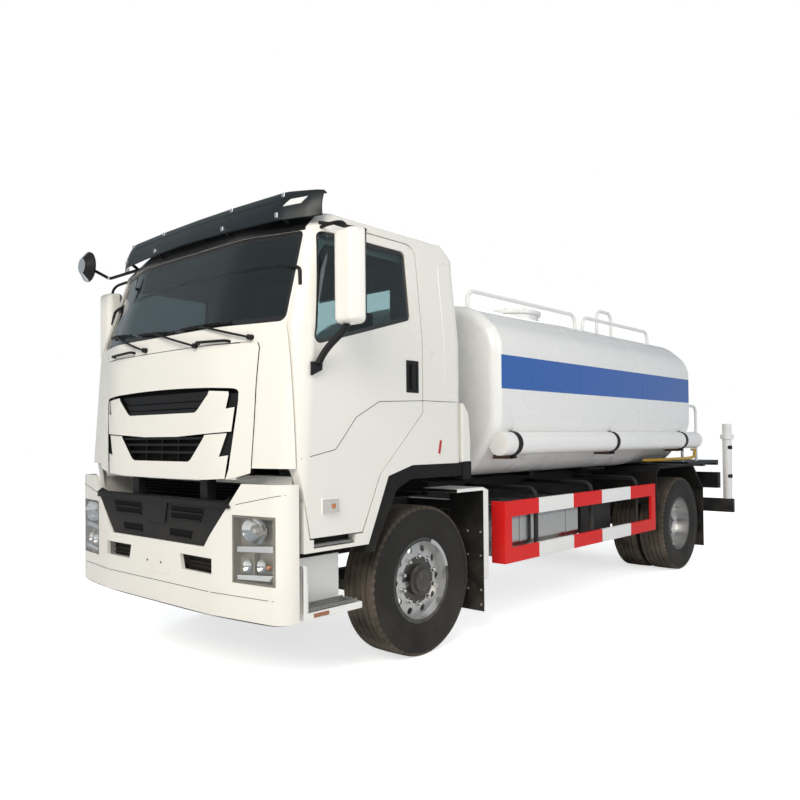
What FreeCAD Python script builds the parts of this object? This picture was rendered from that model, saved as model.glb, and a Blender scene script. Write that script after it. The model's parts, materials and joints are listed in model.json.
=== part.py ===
import FreeCAD, Part
import math
import os
import Sketcher

# Tanker truck, modelled in millimetres: +X is the vehicle's left, the front faces -Y, +Z is up.
# The origin lies on the ground under the middle of the vehicle. Sizes called _y are measured
# rearwards from the front axle, sizes called _z upwards from the ground, sizes called _x sideways
# from the middle.

SIZES = {
    # whole vehicle
    "front_overhang": 1390,
    "wheelbase": 4500,
    "rear_overhang": 1860,
    "half_width": 1240,
    "fit": 0.3,
    "panel_gap": 9,
    # wheels
    "tyre_radius": 522,
    "tyre_width": 295,
    "tyre_bore": 284,
    "tyre_bead_width": 208,
    "tyre_tread_width": 250,
    "tyre_bulge_radius": 400,
    "rim_flange_radius": 298,
    "rim_flange_width": 12,
    "rim_seat_gap": 6,
    "rim_wall": 14,
    "rim_disc_radius": 262,
    "hub_radius": 92,
    "nut_ring_radius": 165,
    "hand_hole_ring": 222,
    "hand_hole_radius": 24,
    "hand_hole_count": 10,
    "front_wheel_x": 1032,
    "front_disc_out": 80,
    "front_hub_out": 135,
    "rear_outer_wheel_x": 1085,
    "rear_inner_wheel_x": 765,
    "kingpin_x": 850,
    "kingpin_radius": 45,
    "kingpin_half_height": 125,
    "steering_arm_length": 180,
    "steering_arm_thickness": 35,
    # chassis
    "rail_x": 425,
    "rail_width": 80,
    "rail_height": 260,
    "rail_wall": 10,
    "rail_top_z": 1030,
    "rail_front_y": -1290,
    "rail_end_y": 6180,
    "cab_mount_y": 250,
    "cab_mount_depth": 70,
    "cross_member_depth": 120,
    "cross_member_wall": 60,
    "subframe_height": 110,
    "subframe_front_y": 900,
    "axle_beam_height": 100,
    "axle_beam_depth": 95,
    "axle_beam_drop": 110,
    "spring_width": 76,
    "spring_half_length": 720,
    "spring_pack": 75,
    "spring_rise": 60,
    "rear_tube_radius": 70,
    "rear_banjo_radius": 205,
    "rear_hub_x": 640,
    "drive_shaft_radius": 55,
    "engine_front_y": -760,
    "engine_length": 1150,
    "engine_half_width": 300,
    "engine_low_z": 620,
    "engine_height": 560,
    "gearbox_length": 700,
    "gearbox_radius": 165,
    "gearbox_z": 795,
    "radiator_front_y": -1010,
    "radiator_depth": 110,
    "radiator_half_width": 370,
    "radiator_low_z": 620,
    "radiator_top_z": 1190,
    # bumper
    "bumper_low_z": 455,
    "bumper_top_z": 1145,
    "bumper_corner_top_z": 1255,
    "bumper_rear_y": -1190,
    "bumper_wall": 25,
    "bumper_flat_x": 640,
    "bumper_corner_depth": 85,
    "bumper_corner_radius": 130,
    "bumper_notch_x": 815,
    "bumper_notch_top_x": 930,
    "insert_top_x": 815,
    "insert_low_x": 575,
    "insert_low_z": 860,
    "insert_depth": 60,
    "lamp_inner_x": 832,
    "lamp_outer_x": 1170,
    "lamp_low_z": 670,
    "lamp_top_z": 1070,
    "lamp_depth": 70,
    "slot_inner_x": 306,
    "slot_outer_x": 655,
    "slot_low_z": 700,
    "slot_top_z": 795,
    # cab
    "cab_front_y": -1362,
    "cab_rear_y": 385,
    "cab_low_z": 850,
    "cab_floor_z": 1240,
    "cab_belt_z": 2190,
    "cab_header_z": 2820,
    "cab_shoulder_z": 2930,
    "cab_roof_z": 2992,
    "cab_belt_back": 35,
    "cab_header_back": 235,
    "cab_shoulder_back": 330,
    "cab_roof_back": 520,
    "cab_header_in": 65,
    "cab_shoulder_in": 115,
    "cab_roof_in": 250,
    "cab_roof_rear_in": 190,
    "cab_shoulder_rear_in": 60,
    "cab_flat_x": 620,
    "cab_corner_depth": 90,
    "cab_upper_corner_depth": 165,
    "cab_corner_radius": 150,
    "cab_bow_radius": 900,
    "cab_rear_radius": 90,
    "cab_wall": 55,
    "firewall_back": 105,
    "firewall_wall": 40,
    "cab_panel_low_z": 1275,
    "cab_corner_low_z": 1345,
    "cab_post_y": -1152,
    "cab_pivot_y": -1300,
    "cab_pivot_z": 1180,
    "skirt_width": 110,
    "arch_top_z": 1335,
    "arch_front_y": -620,
    "arch_rear_y": 470,
    "liner_depth": 95,
    "liner_width": 120,
    # windows
    "screen_low_z": 2215,
    "screen_top_z": 2800,
    "screen_half_low": 1120,
    "screen_half_top": 1075,
    "glass_wall": 8,
    "glass_inset": 14,
    "rear_window_half": 560,
    "rear_window_low_z": 2250,
    "rear_window_top_z": 2700,
    # doors
    "door_front_low_y": -1110,
    "door_front_y": -1190,
    "door_front_top_y": -985,
    "door_rear_y": -72,
    "door_low_z": 925,
    "door_low_rear_y": -668,
    "door_top_z": 2862,
    "door_step_y": -503,
    "door_step_z": 1288,
    "door_corner_z": 1690,
    "door_corner_radius": 90,
    "window_front_low_y": -1075,
    "window_front_top_y": -960,
    "window_front_low_z": 2070,
    "window_rear_y": -180,
    "window_rear_low_z": 2320,
    "window_top_z": 2790,
    "window_radius": 45,
    # door mirrors
    "mirror_x": 1335,
    "mirror_width": 250,
    "mirror_depth": 130,
    "mirror_y": -960,
    "mirror_low_z": 2185,
    "mirror_top_z": 2750,
    "mirror_arm_radius": 22,
    "mirror_foot_z": 1930,
    # front panel
    "panel_half_width": 805,
    "panel_low_half": 720,
    "panel_shoulder_z": 1500,
    "panel_top_z": 2160,
    "panel_thickness": 45,
    "grille_half_width": 560,
    "upper_grille_low_z": 1820,
    "upper_grille_top_z": 1935,
    "lower_grille_low_z": 1560,
    "lower_grille_top_z": 1730,
    "grille_bar": 12,
    "grille_clearance": 0.8,
    "grille_taper": 110,
    # sun visor
    "visor_half": 1180,
    "visor_low_z": 2795,
    "visor_top_z": 3075,
    "visor_front_y": -1400,
    "visor_rear_y": -930,
    "visor_top_front_y": -1120,
    "visor_top_in": 40,
    "visor_sweep": 290,
    "visor_back_y": -700,
    "visor_arm_back": 90,
    "visor_arm_x": 826,
    "visor_arm_rise": 101,
    "visor_end_low_z": 2890,
    "visor_thickness": 22,
    # front mirror
    "round_mirror_x": 1320,
    "round_mirror_y": -1216,
    "round_mirror_z": 2917,
    "round_mirror_foot_y": -1030,
    "round_mirror_foot_z": 2850,
    "round_mirror_radius": 120,
    "round_mirror_depth": 50,
    "round_mirror_arm": 12,
    # inside
    "seat_x": 620,
    "seat_half_width": 250,
    "seat_front_y": -620,
    "seat_length": 520,
    "seat_low_z": 1560,
    "seat_thickness": 130,
    "seat_back_height": 780,
    "dash_depth": 330,
    "dash_low_z": 1750,
    "dash_top_z": 2130,
    "wheel_rim_radius": 225,
    "wheel_rim_tube": 17,
    "wheel_y": -640,
    "wheel_z": 2150,
    "column_radius": 40,
    # steps and front mudguard
    "step_front_y": -1150,
    "step_rear_y": -672,
    "step_low_z": 458,
    "step_tread_z": 500,
    "step_top_z": 770,
    "step_inner_x": 960,
    "step_wall": 25,
    "upper_step_rear_y": -733,
    "upper_step_depth": 25,
    "guard_wing_front_y": 310,
    "guard_wing_y": 635,
    "guard_wing_rear_y": 700,
    "guard_wing_top_z": 1142,
    "guard_wing_low_z": 445,
    "guard_wing_inner_x": 905,
    "flap_low_z": 200,
    "flap_thickness": 10,
    # tank
    "tank_front_y": 850,
    "tank_rear_y": 4860,
    "tank_half_width": 1220,
    "tank_low_z": 1200,
    "tank_top_z": 2700,
    "tank_shoulder_x": 950,
    "tank_shoulder_z": 2590,
    "tank_side_top_z": 2350,
    "tank_side_low_z": 1600,
    "tank_bottom_x": 900,
    "tank_end_radius": 85,
    "tank_crown_radius": 3000,
    "tank_shoulder_radius": 400,
    "tank_side_radius": 300,
    "saddle_thickness": 90,
    "saddle_half_width": 580,
    "saddle_first_y": 1250,
    "saddle_spacing": 1080,
    "saddle_top_z": 1330,
    # manhole
    "manhole_y": 2900,
    "manhole_radius": 300,
    "manhole_neck_height": 130,
    "lid_thickness": 40,
    "lid_overhang": 25,
    "lid_hinge_radius": 18,
    # roof rails
    "roof_rail_radius": 17,
    "roof_rail_x": 780,
    "roof_rail_bend": 90,
    "front_rail_start_y": 1060,
    "front_rail_end_y": 2900,
    "rear_rail_start_y": 3060,
    "rear_rail_end_y": 4660,
    "roof_rail_top_z": 2765,
    "hoop_front_y": 3690,
    "hoop_rear_y": 4040,
    "hoop_x": 620,
    "hoop_top_z": 2930,
    # hose tubes
    "hose_tube_x": 1190,
    "hose_tube_z": 1468,
    "hose_tube_radius": 95,
    "hose_tube_front_y": 905,
    "hose_tube_end_y": 5040,
    "hose_band_first_y": 1050,
    "hose_band_spacing": 1740,
    "hose_band_width": 60,
    "hose_band_wall": 5,
    # side guards
    "guard_front_y": 915,
    "guard_rear_y": 3770,
    "guard_x": 1222,
    "guard_rail_thickness": 30,
    "guard_top_low_z": 885,
    "guard_top_z": 1010,
    "guard_low_z": 520,
    "guard_low_top_z": 640,
    "guard_upright": 100,
    "guard_return": 130,
    "hanger_radius": 20,
    "hanger_first_y": 1450,
    "hanger_spacing": 975,
    "hanger_bend": 70,
    # fuel tank and boxes
    "fuel_front_y": 1070,
    "fuel_rear_y": 2240,
    "fuel_outer_x": 1150,
    "fuel_width": 620,
    "fuel_low_z": 540,
    "fuel_top_z": 970,
    "fuel_corner_radius": 130,
    "fuel_strap_width": 50,
    "fuel_strap_wall": 5,
    "fuel_strap_end": 180,
    "battery_front_y": 2420,
    "battery_length": 620,
    "battery_width": 420,
    "battery_outer_x": 1080,
    "battery_low_z": 600,
    "battery_height": 330,
    "air_tank_radius": 130,
    "air_tank_x": 660,
    "air_tank_z": 820,
    # rear mudguards
    "rear_wing_front_y": 3835,
    "rear_wing_top_front_y": 3905,
    "rear_wing_top_rear_y": 4880,
    "rear_wing_rear_y": 5215,
    "rear_wing_top_z": 1185,
    "rear_wing_shoulder_z": 1120,
    "rear_wing_front_low_z": 780,
    "rear_wing_rear_low_z": 880,
    "rear_wing_inner_x": 600,
    "rear_wing_outer_x": 1225,
    "rear_wing_thickness": 22,
    "rear_flap_low_z": 190,
    # rear platform
    "platform_front_y": 4930,
    "platform_rear_y": 5960,
    "platform_z": 1165,
    "platform_thickness": 40,
    "platform_half_width": 1150,
    "railing_tube": 17,
    "railing_rear_y": 5410,
    "railing_top_z": 1885,
    "railing_mid_z": 1540,
    "railing_middle_tube": 13,
    "railing_x": 1070,
    # rear end
    "underrun_low_z": 500,
    "underrun_top_z": 680,
    "underrun_depth": 60,
    "underrun_half_width": 1220,
    "lamp_box_x": 1000,
    "lamp_box_width": 400,
    "lamp_box_front_y": 5800,
    "lamp_box_depth": 90,
    "lamp_box_low_z": 850,
    "lamp_box_high_z": 1050,
    "spray_pipe_x": 1140,
    "spray_pipe_radius": 57,
    "spray_pipe_low_z": 730,
    "spray_pipe_top_z": 1560,
    "spray_flange_radius": 82,
    "spray_flange_width": 30,
    # pump and pipes
    "pump_y": 5100,
    "pump_radius": 170,
    "pump_width": 220,
    "pipe_radius": 45,
    "pipe_z": 1060,
    # water cannon
    "cannon_y": 5560,
    "cannon_post_radius": 60,
    "cannon_post_height": 760,
    "cannon_swivel_height": 170,
    "cannon_elbow_radius": 85,
    "cannon_barrel_length": 630,
    "cannon_barrel_radius": 42,
    "cannon_tip_radius": 24,
}

doc = FreeCAD.newDocument("tanker_truck")
sheet = doc.addObject("Spreadsheet::Sheet", "Sizes")
for row, (word, number) in enumerate(SIZES.items(), 1):
    sheet.set(f"A{row}", word)
    sheet.set(f"B{row}", str(number))
    sheet.setAlias(f"B{row}", word)
doc.recompute()


class Size:
    """A length that knows its value now and the formula that ties it to the sheet."""

    def __init__(self, value, formula=None):
        self.value = float(value)
        self.formula = formula or repr(value)

    def joined(self, other, sign, value):
        return Size(value, f"({self.formula} {sign} {size(other).formula})")

    def __add__(self, other):
        return self.joined(other, "+", self.value + size(other).value)

    def __radd__(self, other):
        return size(other) + self

    def __sub__(self, other):
        return self.joined(other, "-", self.value - size(other).value)

    def __rsub__(self, other):
        return size(other) - self

    def __mul__(self, other):
        return self.joined(other, "*", self.value * size(other).value)

    def __rmul__(self, other):
        return size(other) * self

    def __truediv__(self, other):
        return self.joined(other, "/", self.value / size(other).value)

    def __neg__(self):
        return Size(-self.value, f"(-1 * {self.formula})")


def size(number):
    return number if isinstance(number, Size) else Size(number)


class SheetWords:
    """Gives each word of the sheet as a Size, so that S.wheelbase reads like a value."""

    def __getattr__(self, word):
        return Size(SIZES[word], f"Sizes.{word}")


S = SheetWords()
ZERO = Size(0)
X = FreeCAD.Vector(1, 0, 0)
Y = FreeCAD.Vector(0, 1, 0)
Z = FreeCAD.Vector(0, 0, 1)

FRONT_AXLE = (S.front_overhang - S.wheelbase - S.rear_overhang) / 2
REAR_AXLE = FRONT_AXLE + S.wheelbase


def aft(distance):
    """The place of something that is measured rearwards from the front axle."""
    return FRONT_AXLE + distance


def bind(thing, prop, length):
    """Ties one property of an object to the sheet."""
    thing.setExpression(prop, size(length).formula)


def place(thing, x=ZERO, y=ZERO, z=ZERO, turn=None):
    rotation = turn or FreeCAD.Rotation()
    base = FreeCAD.Vector(size(x).value, size(y).value, size(z).value)
    thing.Placement = FreeCAD.Placement(base, rotation)
    for axis, length in (("x", x), ("y", y), ("z", z)):
        if size(length).formula != ZERO.formula:
            bind(thing, f"Placement.Base.{axis}", length)
    return thing


# Turns that lay a sketch or a cylinder in the plane, or along the axis, that it is drawn for.
PLANES = {
    "plan": (FreeCAD.Rotation(), Z),
    "side": (FreeCAD.Rotation(Y, Z, X, "ZXY"), X),
    "front": (FreeCAD.Rotation(X, Z, -Y, "ZXY"), Y),
}
ALONG = {
    "x": FreeCAD.Rotation(Z, X),
    "y": FreeCAD.Rotation(Z, Y),
    "z": FreeCAD.Rotation(),
}


def box(name, x, y, z):
    """A block between two places on each axis."""
    block = doc.addObject("Part::Box", name)
    for prop, (low, high) in (("Length", x), ("Width", y), ("Height", z)):
        bind(block, prop, high - low)
    return place(block, x[0], y[0], z[0])


def rod(name, axis, centre, radius, low, high):
    """A round bar along one axis; centre gives its place on the other two axes, in order."""
    bar = doc.addObject("Part::Cylinder", name)
    bind(bar, "Radius", radius)
    bind(bar, "Height", high - low)
    spots = list(centre)
    spots.insert("xyz".index(axis), low)
    return place(bar, *spots, turn=ALONG[axis])


def corner_geometry(before, corner, after, radius):
    """Where a rounded corner starts and ends, and the arc between."""
    towards = (before - corner).normalize()
    away = (after - corner).normalize()
    half_angle = towards.getAngle(away) / 2
    reach = radius / math.tan(half_angle)
    middle = (towards + away).normalize()
    centre = corner + middle * (radius / math.sin(half_angle))
    start = corner + towards * reach
    end = corner + away * reach
    return start, end, Part.Arc(start, centre - middle * radius, end)


def draw(sketch, corners):
    """Draws a closed outline of (x, y) or (x, y, radius) corners and ties it to the sheet."""
    spots = [FreeCAD.Vector(size(c[0]).value, size(c[1]).value, 0) for c in corners]
    count = len(spots)
    rounds = []
    for i, corner in enumerate(corners):
        if len(corner) == 2:
            rounds.append((spots[i], spots[i], None))
            continue
        rounds.append(corner_geometry(spots[i - 1], spots[i], spots[(i + 1) % count], size(corner[2]).value))
    lines = []
    for i in range(count):
        segment = Part.LineSegment(rounds[i][1], rounds[(i + 1) % count][0])
        lines.append(sketch.addGeometry(segment, False))
    for i, corner in enumerate(corners):
        start, end, arc = rounds[i]
        arriving, leaving = lines[i - 1], lines[i]
        if arc is None:
            sketch.addConstraint(Sketcher.Constraint("Coincident", arriving, 2, leaving, 1))
            anchor = leaving
        else:
            bend = sketch.addGeometry(arc, False)
            anchor = sketch.addGeometry(Part.Point(spots[i]), True)
            first = 1 if (sketch.Geometry[bend].StartPoint - start).Length < 1e-6 else 2
            sketch.addConstraint(Sketcher.Constraint("Tangent", arriving, 2, bend, first))
            sketch.addConstraint(Sketcher.Constraint("Tangent", bend, 3 - first, leaving, 1))
            sketch.addConstraint(Sketcher.Constraint("PointOnObject", anchor, 1, arriving))
            sketch.addConstraint(Sketcher.Constraint("PointOnObject", anchor, 1, leaving))
            radius = sketch.addConstraint(Sketcher.Constraint("Radius", bend, size(corner[2]).value))
            bind(sketch, f"Constraints[{radius}]", corner[2])
        for kind, length in (("DistanceX", corner[0]), ("DistanceY", corner[1])):
            value = size(length).value
            rule = sketch.addConstraint(Sketcher.Constraint(kind, -1, 1, anchor, 1, value))
            if "Sizes" in size(length).formula:
                bind(sketch, f"Constraints[{rule}]", length)
    return sketch


def outline(name, plane, corners, offset=ZERO):
    """A closed sketch in the plan, side or front plane, at an offset along that plane's normal."""
    sketch = doc.addObject("Sketcher::SketchObject", name)
    turn, normal = PLANES[plane]
    place(sketch, *[offset * abs(part) if part else ZERO for part in normal], turn=turn)
    return draw(sketch, corners)


def prism(name, plane, corners, low, high):
    """An outline drawn in one plane and pushed along its normal from low to high."""
    sketch = outline(name + "_outline", plane, corners, low)
    solid = doc.addObject("Part::Extrusion", name)
    solid.Base = sketch
    solid.DirMode = "Custom"
    solid.Dir = PLANES[plane][1]
    solid.Solid = True
    bind(solid, "LengthFwd", high - low)
    return solid


def turned(name, axis, centre, corners):
    """A solid of revolution; corners are (place along the axis, radius)."""
    sketch = doc.addObject("Sketcher::SketchObject", name + "_outline")
    spots = list(centre)
    spots.insert("xyz".index(axis), ZERO)
    along = {"x": X, "y": Y, "z": Z}[axis]
    outward = {"x": Z, "y": Z, "z": X}[axis]
    place(sketch, *spots, turn=FreeCAD.Rotation(along, outward, along.cross(outward), "ZXY"))
    draw(sketch, corners)
    solid = doc.addObject("Part::Revolution", name)
    solid.Source = sketch
    solid.Axis = along
    solid.Solid = True
    for part, length in zip("xyz", spots):
        bind(solid, f"Base.{part}", length)
    return solid


def loft(name, sections):
    solid = doc.addObject("Part::Loft", name)
    solid.Sections = sections
    solid.Solid = True
    solid.Ruled = True
    return solid


def fuse(name, *shapes):
    solid = doc.addObject("Part::MultiFuse", name)
    solid.Shapes = list(shapes)
    return solid


def cut(name, base, *tools):
    """The base with every tool taken away, one after another."""
    for i, tool in enumerate(tools, 1):
        last = i == len(tools)
        solid = doc.addObject("Part::Cut", name if last else f"{name}_{i}")
        solid.Base = base
        solid.Tool = tool
        base = solid
    return base


def common(name, *shapes):
    solid = doc.addObject("Part::MultiCommon", name)
    solid.Shapes = list(shapes)
    return solid


def mirrored(name, source):
    """The same piece on the vehicle's other side."""
    copy = doc.addObject("Part::Mirroring", name)
    copy.Source = source
    copy.Normal = X
    return copy


def together(name, *shapes):
    """Solids that don't touch, kept as one piece."""
    group = doc.addObject("Part::Compound", name)
    group.Links = list(shapes)
    return group


def both_sides(name, source):
    return together(name, source, mirrored(name + "_other", source))


def pipe(name, spots, radius, bend=None):
    """A round pipe through the given places, with an arc of the bend radius at each turn."""
    places = [FreeCAD.Vector(*[size(part).value for part in spot]) for spot in spots]
    edges = []
    last = places[0]
    for before, corner, after in zip(places, places[1:], places[2:]):
        start, end, arc = corner_geometry(before, corner, after, size(bend).value)
        edges.append(Part.LineSegment(last, start).toShape())
        edges.append(arc.toShape())
        last = end
    edges.append(Part.LineSegment(last, places[-1]).toShape())
    ring = Part.Wire(Part.Circle(places[0], places[1] - places[0], size(radius).value).toShape())
    solid = doc.addObject("Part::Feature", name)
    solid.Shape = Part.Wire(edges).makePipeShell([ring], True, False)
    return solid


NODES = {}


def node(label, solid):
    """Names a finished piece, which is written to the file of that name."""
    solid.Label = label
    NODES[label] = solid
    return solid


def chassis():
    inner = S.rail_x - S.rail_width / 2
    outer = S.rail_x + S.rail_width / 2
    low = S.rail_top_z - S.rail_height
    web = outer - S.rail_wall
    channel = prism("rail", "front", [
        (inner, low), (outer, low), (outer, S.rail_top_z), (inner, S.rail_top_z),
        (inner, S.rail_top_z - S.rail_wall), (web, S.rail_top_z - S.rail_wall),
        (web, low + S.rail_wall), (inner, low + S.rail_wall),
    ], aft(S.rail_front_y), aft(S.rail_end_y))
    upper = box("subframe_rail", (inner, outer), (aft(S.subframe_front_y), aft(S.rail_end_y)),
                (S.rail_top_z, S.rail_top_z + S.subframe_height))
    bars = []
    bar_top = S.rail_top_z - S.rail_wall
    behind_gearbox = aft(S.engine_front_y) + S.engine_length + S.gearbox_length + S.cross_member_depth
    places = (aft(S.rail_front_y) + S.cross_member_depth, behind_gearbox,
              aft(S.fuel_rear_y) + S.fuel_strap_end, aft(S.guard_rear_y),
              REAR_AXLE + S.spring_half_length, aft(S.rail_end_y) - S.cross_member_depth)
    for i, y in enumerate(places):
        bars.append(box(f"cross_member_{i}", (-web, web), (y, y + S.cross_member_wall),
                        (bar_top - S.cross_member_depth, bar_top)))
    for i, (y, top) in enumerate(((aft(S.rail_front_y), S.cab_panel_low_z), (aft(S.cab_mount_y), S.arch_top_z))):
        post = box(f"cab_mount_{i}", (inner, outer), (y, y + S.cab_mount_depth), (bar_top, top - S.fit))
        bars += [post, mirrored(f"cab_mount_{i}_right", post)]
    node("ladder_frame", fuse("frame", channel, mirrored("rail_right", channel), upper,
                              mirrored("subframe_right", upper), *bars))


def axles():
    low = S.tyre_radius - S.axle_beam_height / 2
    top = S.tyre_radius + S.axle_beam_height / 2
    end = S.kingpin_x - S.kingpin_radius - S.fit
    knee = S.rail_x + S.rail_width
    drop = S.axle_beam_drop
    beam = prism("axle_beam", "front", [
        (-end, low), (-knee, low - drop), (knee, low - drop), (end, low),
        (end, top), (knee, top - drop), (-knee, top - drop), (-end, top),
    ], FRONT_AXLE - S.axle_beam_depth / 2, FRONT_AXLE + S.axle_beam_depth / 2)
    node("front_axle_beam", beam)
    half = S.rear_banjo_radius - S.rear_tube_radius
    housing = turned("rear_housing", "x", (REAR_AXLE, S.tyre_radius), [
        (-S.rear_hub_x, ZERO), (S.rear_hub_x, ZERO), (S.rear_hub_x, S.rear_tube_radius),
        (half, S.rear_tube_radius), (half / 2, S.rear_banjo_radius),
        (-half / 2, S.rear_banjo_radius), (-half, S.rear_tube_radius),
        (-S.rear_hub_x, S.rear_tube_radius),
    ])
    node("rear_axle_housing", housing)
    springs = []
    for name, y, seat in (("front", FRONT_AXLE, S.tyre_radius + S.axle_beam_height / 2 - drop),
                          ("rear", REAR_AXLE, S.tyre_radius + S.rear_tube_radius)):
        eye = S.rail_top_z - S.rail_height - S.fit
        base = seat + S.fit
        reach = S.spring_half_length
        leaf = prism(name + "_spring", "side", [
            (y - reach, eye - S.spring_pack), (y - reach / 2, base), (y + reach / 2, base),
            (y + reach, eye - S.spring_pack), (y + reach, eye), (y + reach - S.spring_pack, eye),
            (y + reach / 2, base + S.spring_pack), (y - reach / 2, base + S.spring_pack),
            (y - reach + S.spring_pack, eye), (y - reach, eye),
        ], S.rail_x - S.spring_width / 2, S.rail_x + S.spring_width / 2)
        springs += [leaf, mirrored(name + "_spring_right", leaf)]
    node("leaf_springs", together("springs", *springs))


def knuckles():
    half = S.kingpin_radius
    low = S.tyre_radius - S.kingpin_half_height
    post = rod("knuckle_post", "z", (S.kingpin_x, FRONT_AXLE), half, low, S.tyre_radius + S.kingpin_half_height)
    stub = rod("knuckle_stub", "x", (FRONT_AXLE, S.tyre_radius), half, S.kingpin_x, S.front_wheel_x - S.fit)
    arm = box("steering_arm", (S.kingpin_x - half / 2, S.kingpin_x + half / 2),
              (FRONT_AXLE, FRONT_AXLE + S.steering_arm_length), (low, low + S.steering_arm_thickness))
    left = fuse("knuckle", post, stub, arm)
    node("knuckle_left", left)
    node("knuckle_right", mirrored("knuckle_other", left))


def tyre(name, x):
    """One tyre about an axle along X, as far out as x."""
    tread = S.tyre_tread_width / 2
    bulge = S.tyre_width / 2
    bead = S.tyre_bead_width / 2
    return [(x - bead, S.tyre_bore), (x + bead, S.tyre_bore), (x + bulge, S.tyre_bulge_radius),
            (x + tread, S.tyre_radius), (x - tread, S.tyre_radius), (x - bulge, S.tyre_bulge_radius)]


def barrel(x):
    """The ring of a rim that carries the tyre, as an outline of (place, radius) corners."""
    bead = S.tyre_bead_width / 2 + S.rim_seat_gap
    seat = S.tyre_bore - S.fit
    flange = bead + S.rim_flange_width
    inside = seat - S.rim_wall
    return [(x - flange, inside), (x + flange, inside), (x + flange, S.rim_flange_radius),
            (x + bead, S.rim_flange_radius), (x + bead, seat), (x - bead, seat),
            (x - bead, S.rim_flange_radius), (x - flange, S.rim_flange_radius)]


def wheels():
    lift = S.tyre_radius
    inside = S.tyre_bore - S.fit - S.rim_wall
    x = S.front_wheel_x
    face = x + S.front_disc_out
    front_tyre = turned("front_tyre", "x", (FRONT_AXLE, lift), tyre("front", x))
    node("tyre_front_left", front_tyre)
    node("tyre_front_right", mirrored("front_tyre_other", front_tyre))
    ring = turned("front_barrel", "x", (FRONT_AXLE, lift), barrel(x))
    disc = turned("front_disc", "x", (FRONT_AXLE, lift), [
        (x, ZERO), (x, S.hub_radius), (face - S.rim_wall, S.hub_radius),
        (face - S.rim_wall, S.nut_ring_radius), (face - S.rim_wall * 3, inside + S.rim_wall / 2),
        (face - S.rim_wall * 2, inside + S.rim_wall / 2), (face, S.nut_ring_radius),
        (face, S.hub_radius), (x + S.front_hub_out, S.hub_radius - S.rim_wall),
        (x + S.front_hub_out, ZERO),
    ])
    front_rim = fuse("front_rim", ring, disc)
    node("rim_front_left", front_rim)
    node("rim_front_right", mirrored("front_rim_other", front_rim))
    outer = S.rear_outer_wheel_x
    inner = S.rear_inner_wheel_x
    pair = together("rear_tyres", turned("rear_outer_tyre", "x", (REAR_AXLE, lift), tyre("outer", outer)),
                    turned("rear_inner_tyre", "x", (REAR_AXLE, lift), tyre("inner", inner)))
    node("tyres_rear_left", pair)
    node("tyres_rear_right", mirrored("rear_tyres_other", pair))
    outer_ring = turned("rear_outer_barrel", "x", (REAR_AXLE, lift), barrel(outer))
    inner_ring = turned("rear_inner_barrel", "x", (REAR_AXLE, lift), barrel(inner))
    middle = (outer + inner) / 2
    dish = turned("rear_dish", "x", (REAR_AXLE, lift), [
        (S.rear_hub_x + S.fit, ZERO), (S.rear_hub_x + S.fit, S.hub_radius),
        (middle - S.rim_wall, S.nut_ring_radius), (inner, inside + S.rim_wall / 2),
        (inner + S.rim_wall, inside + S.rim_wall / 2), (middle, S.nut_ring_radius + S.rim_wall),
        (outer - S.rim_wall, inside + S.rim_wall / 2), (outer, inside + S.rim_wall / 2),
        (middle + S.rim_wall, S.nut_ring_radius), (middle + S.rim_wall, S.hub_radius),
        (outer, S.hub_radius - S.rim_wall), (outer, ZERO),
    ])
    rear_rims = fuse("rear_rims", outer_ring, inner_ring, dish)
    node("rims_rear_left", rear_rims)
    node("rims_rear_right", mirrored("rear_rims_other", rear_rims))


def engine():
    y = aft(S.engine_front_y)
    end = y + S.engine_length
    z = S.gearbox_z
    block = box("engine_body", (-S.engine_half_width, S.engine_half_width), (y, end),
                (S.engine_low_z, S.engine_low_z + S.engine_height))
    gearbox = rod("gearbox", "y", (ZERO, z), S.gearbox_radius, end, end + S.gearbox_length)
    node("engine_block", fuse("engine", block, gearbox))
    r = S.drive_shaft_radius
    start = end + S.gearbox_length + S.fit
    stop = REAR_AXLE - S.rear_banjo_radius - S.fit
    tilted = pipe("tilted_shaft", [(ZERO, start - r, z), (ZERO, stop + r, S.tyre_radius + r)], r)
    span = box("shaft_span", (-r * 2, r * 2), (start, stop), (S.tyre_radius - r, z + r * 2))
    node("drive_shaft", common("shaft", tilted, span))
    front = aft(S.radiator_front_y)
    core = box("radiator_core", (-S.radiator_half_width, S.radiator_half_width),
               (front, front + S.radiator_depth), (S.radiator_low_z, S.radiator_top_z))
    seat = S.rail_x - S.rail_width / 2 - S.fit
    lugs = box("radiator_lugs", (-seat, seat), (front, front + S.radiator_depth / 2),
               (S.rail_top_z - S.rail_height, S.rail_top_z))
    node("radiator", fuse("radiator_whole", core, lugs))


def bumper_plan(inset, front):
    """The bumper's outline seen from above, each side moved in by the inset."""
    wide = S.half_width - inset
    flat = S.bumper_flat_x
    rear = aft(S.bumper_rear_y)
    deep = front + S.bumper_corner_depth
    return [(-wide, deep, S.bumper_corner_radius), (-flat, front), (flat, front),
            (wide, deep, S.bumper_corner_radius), (wide, rear), (-wide, rear)]


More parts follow.
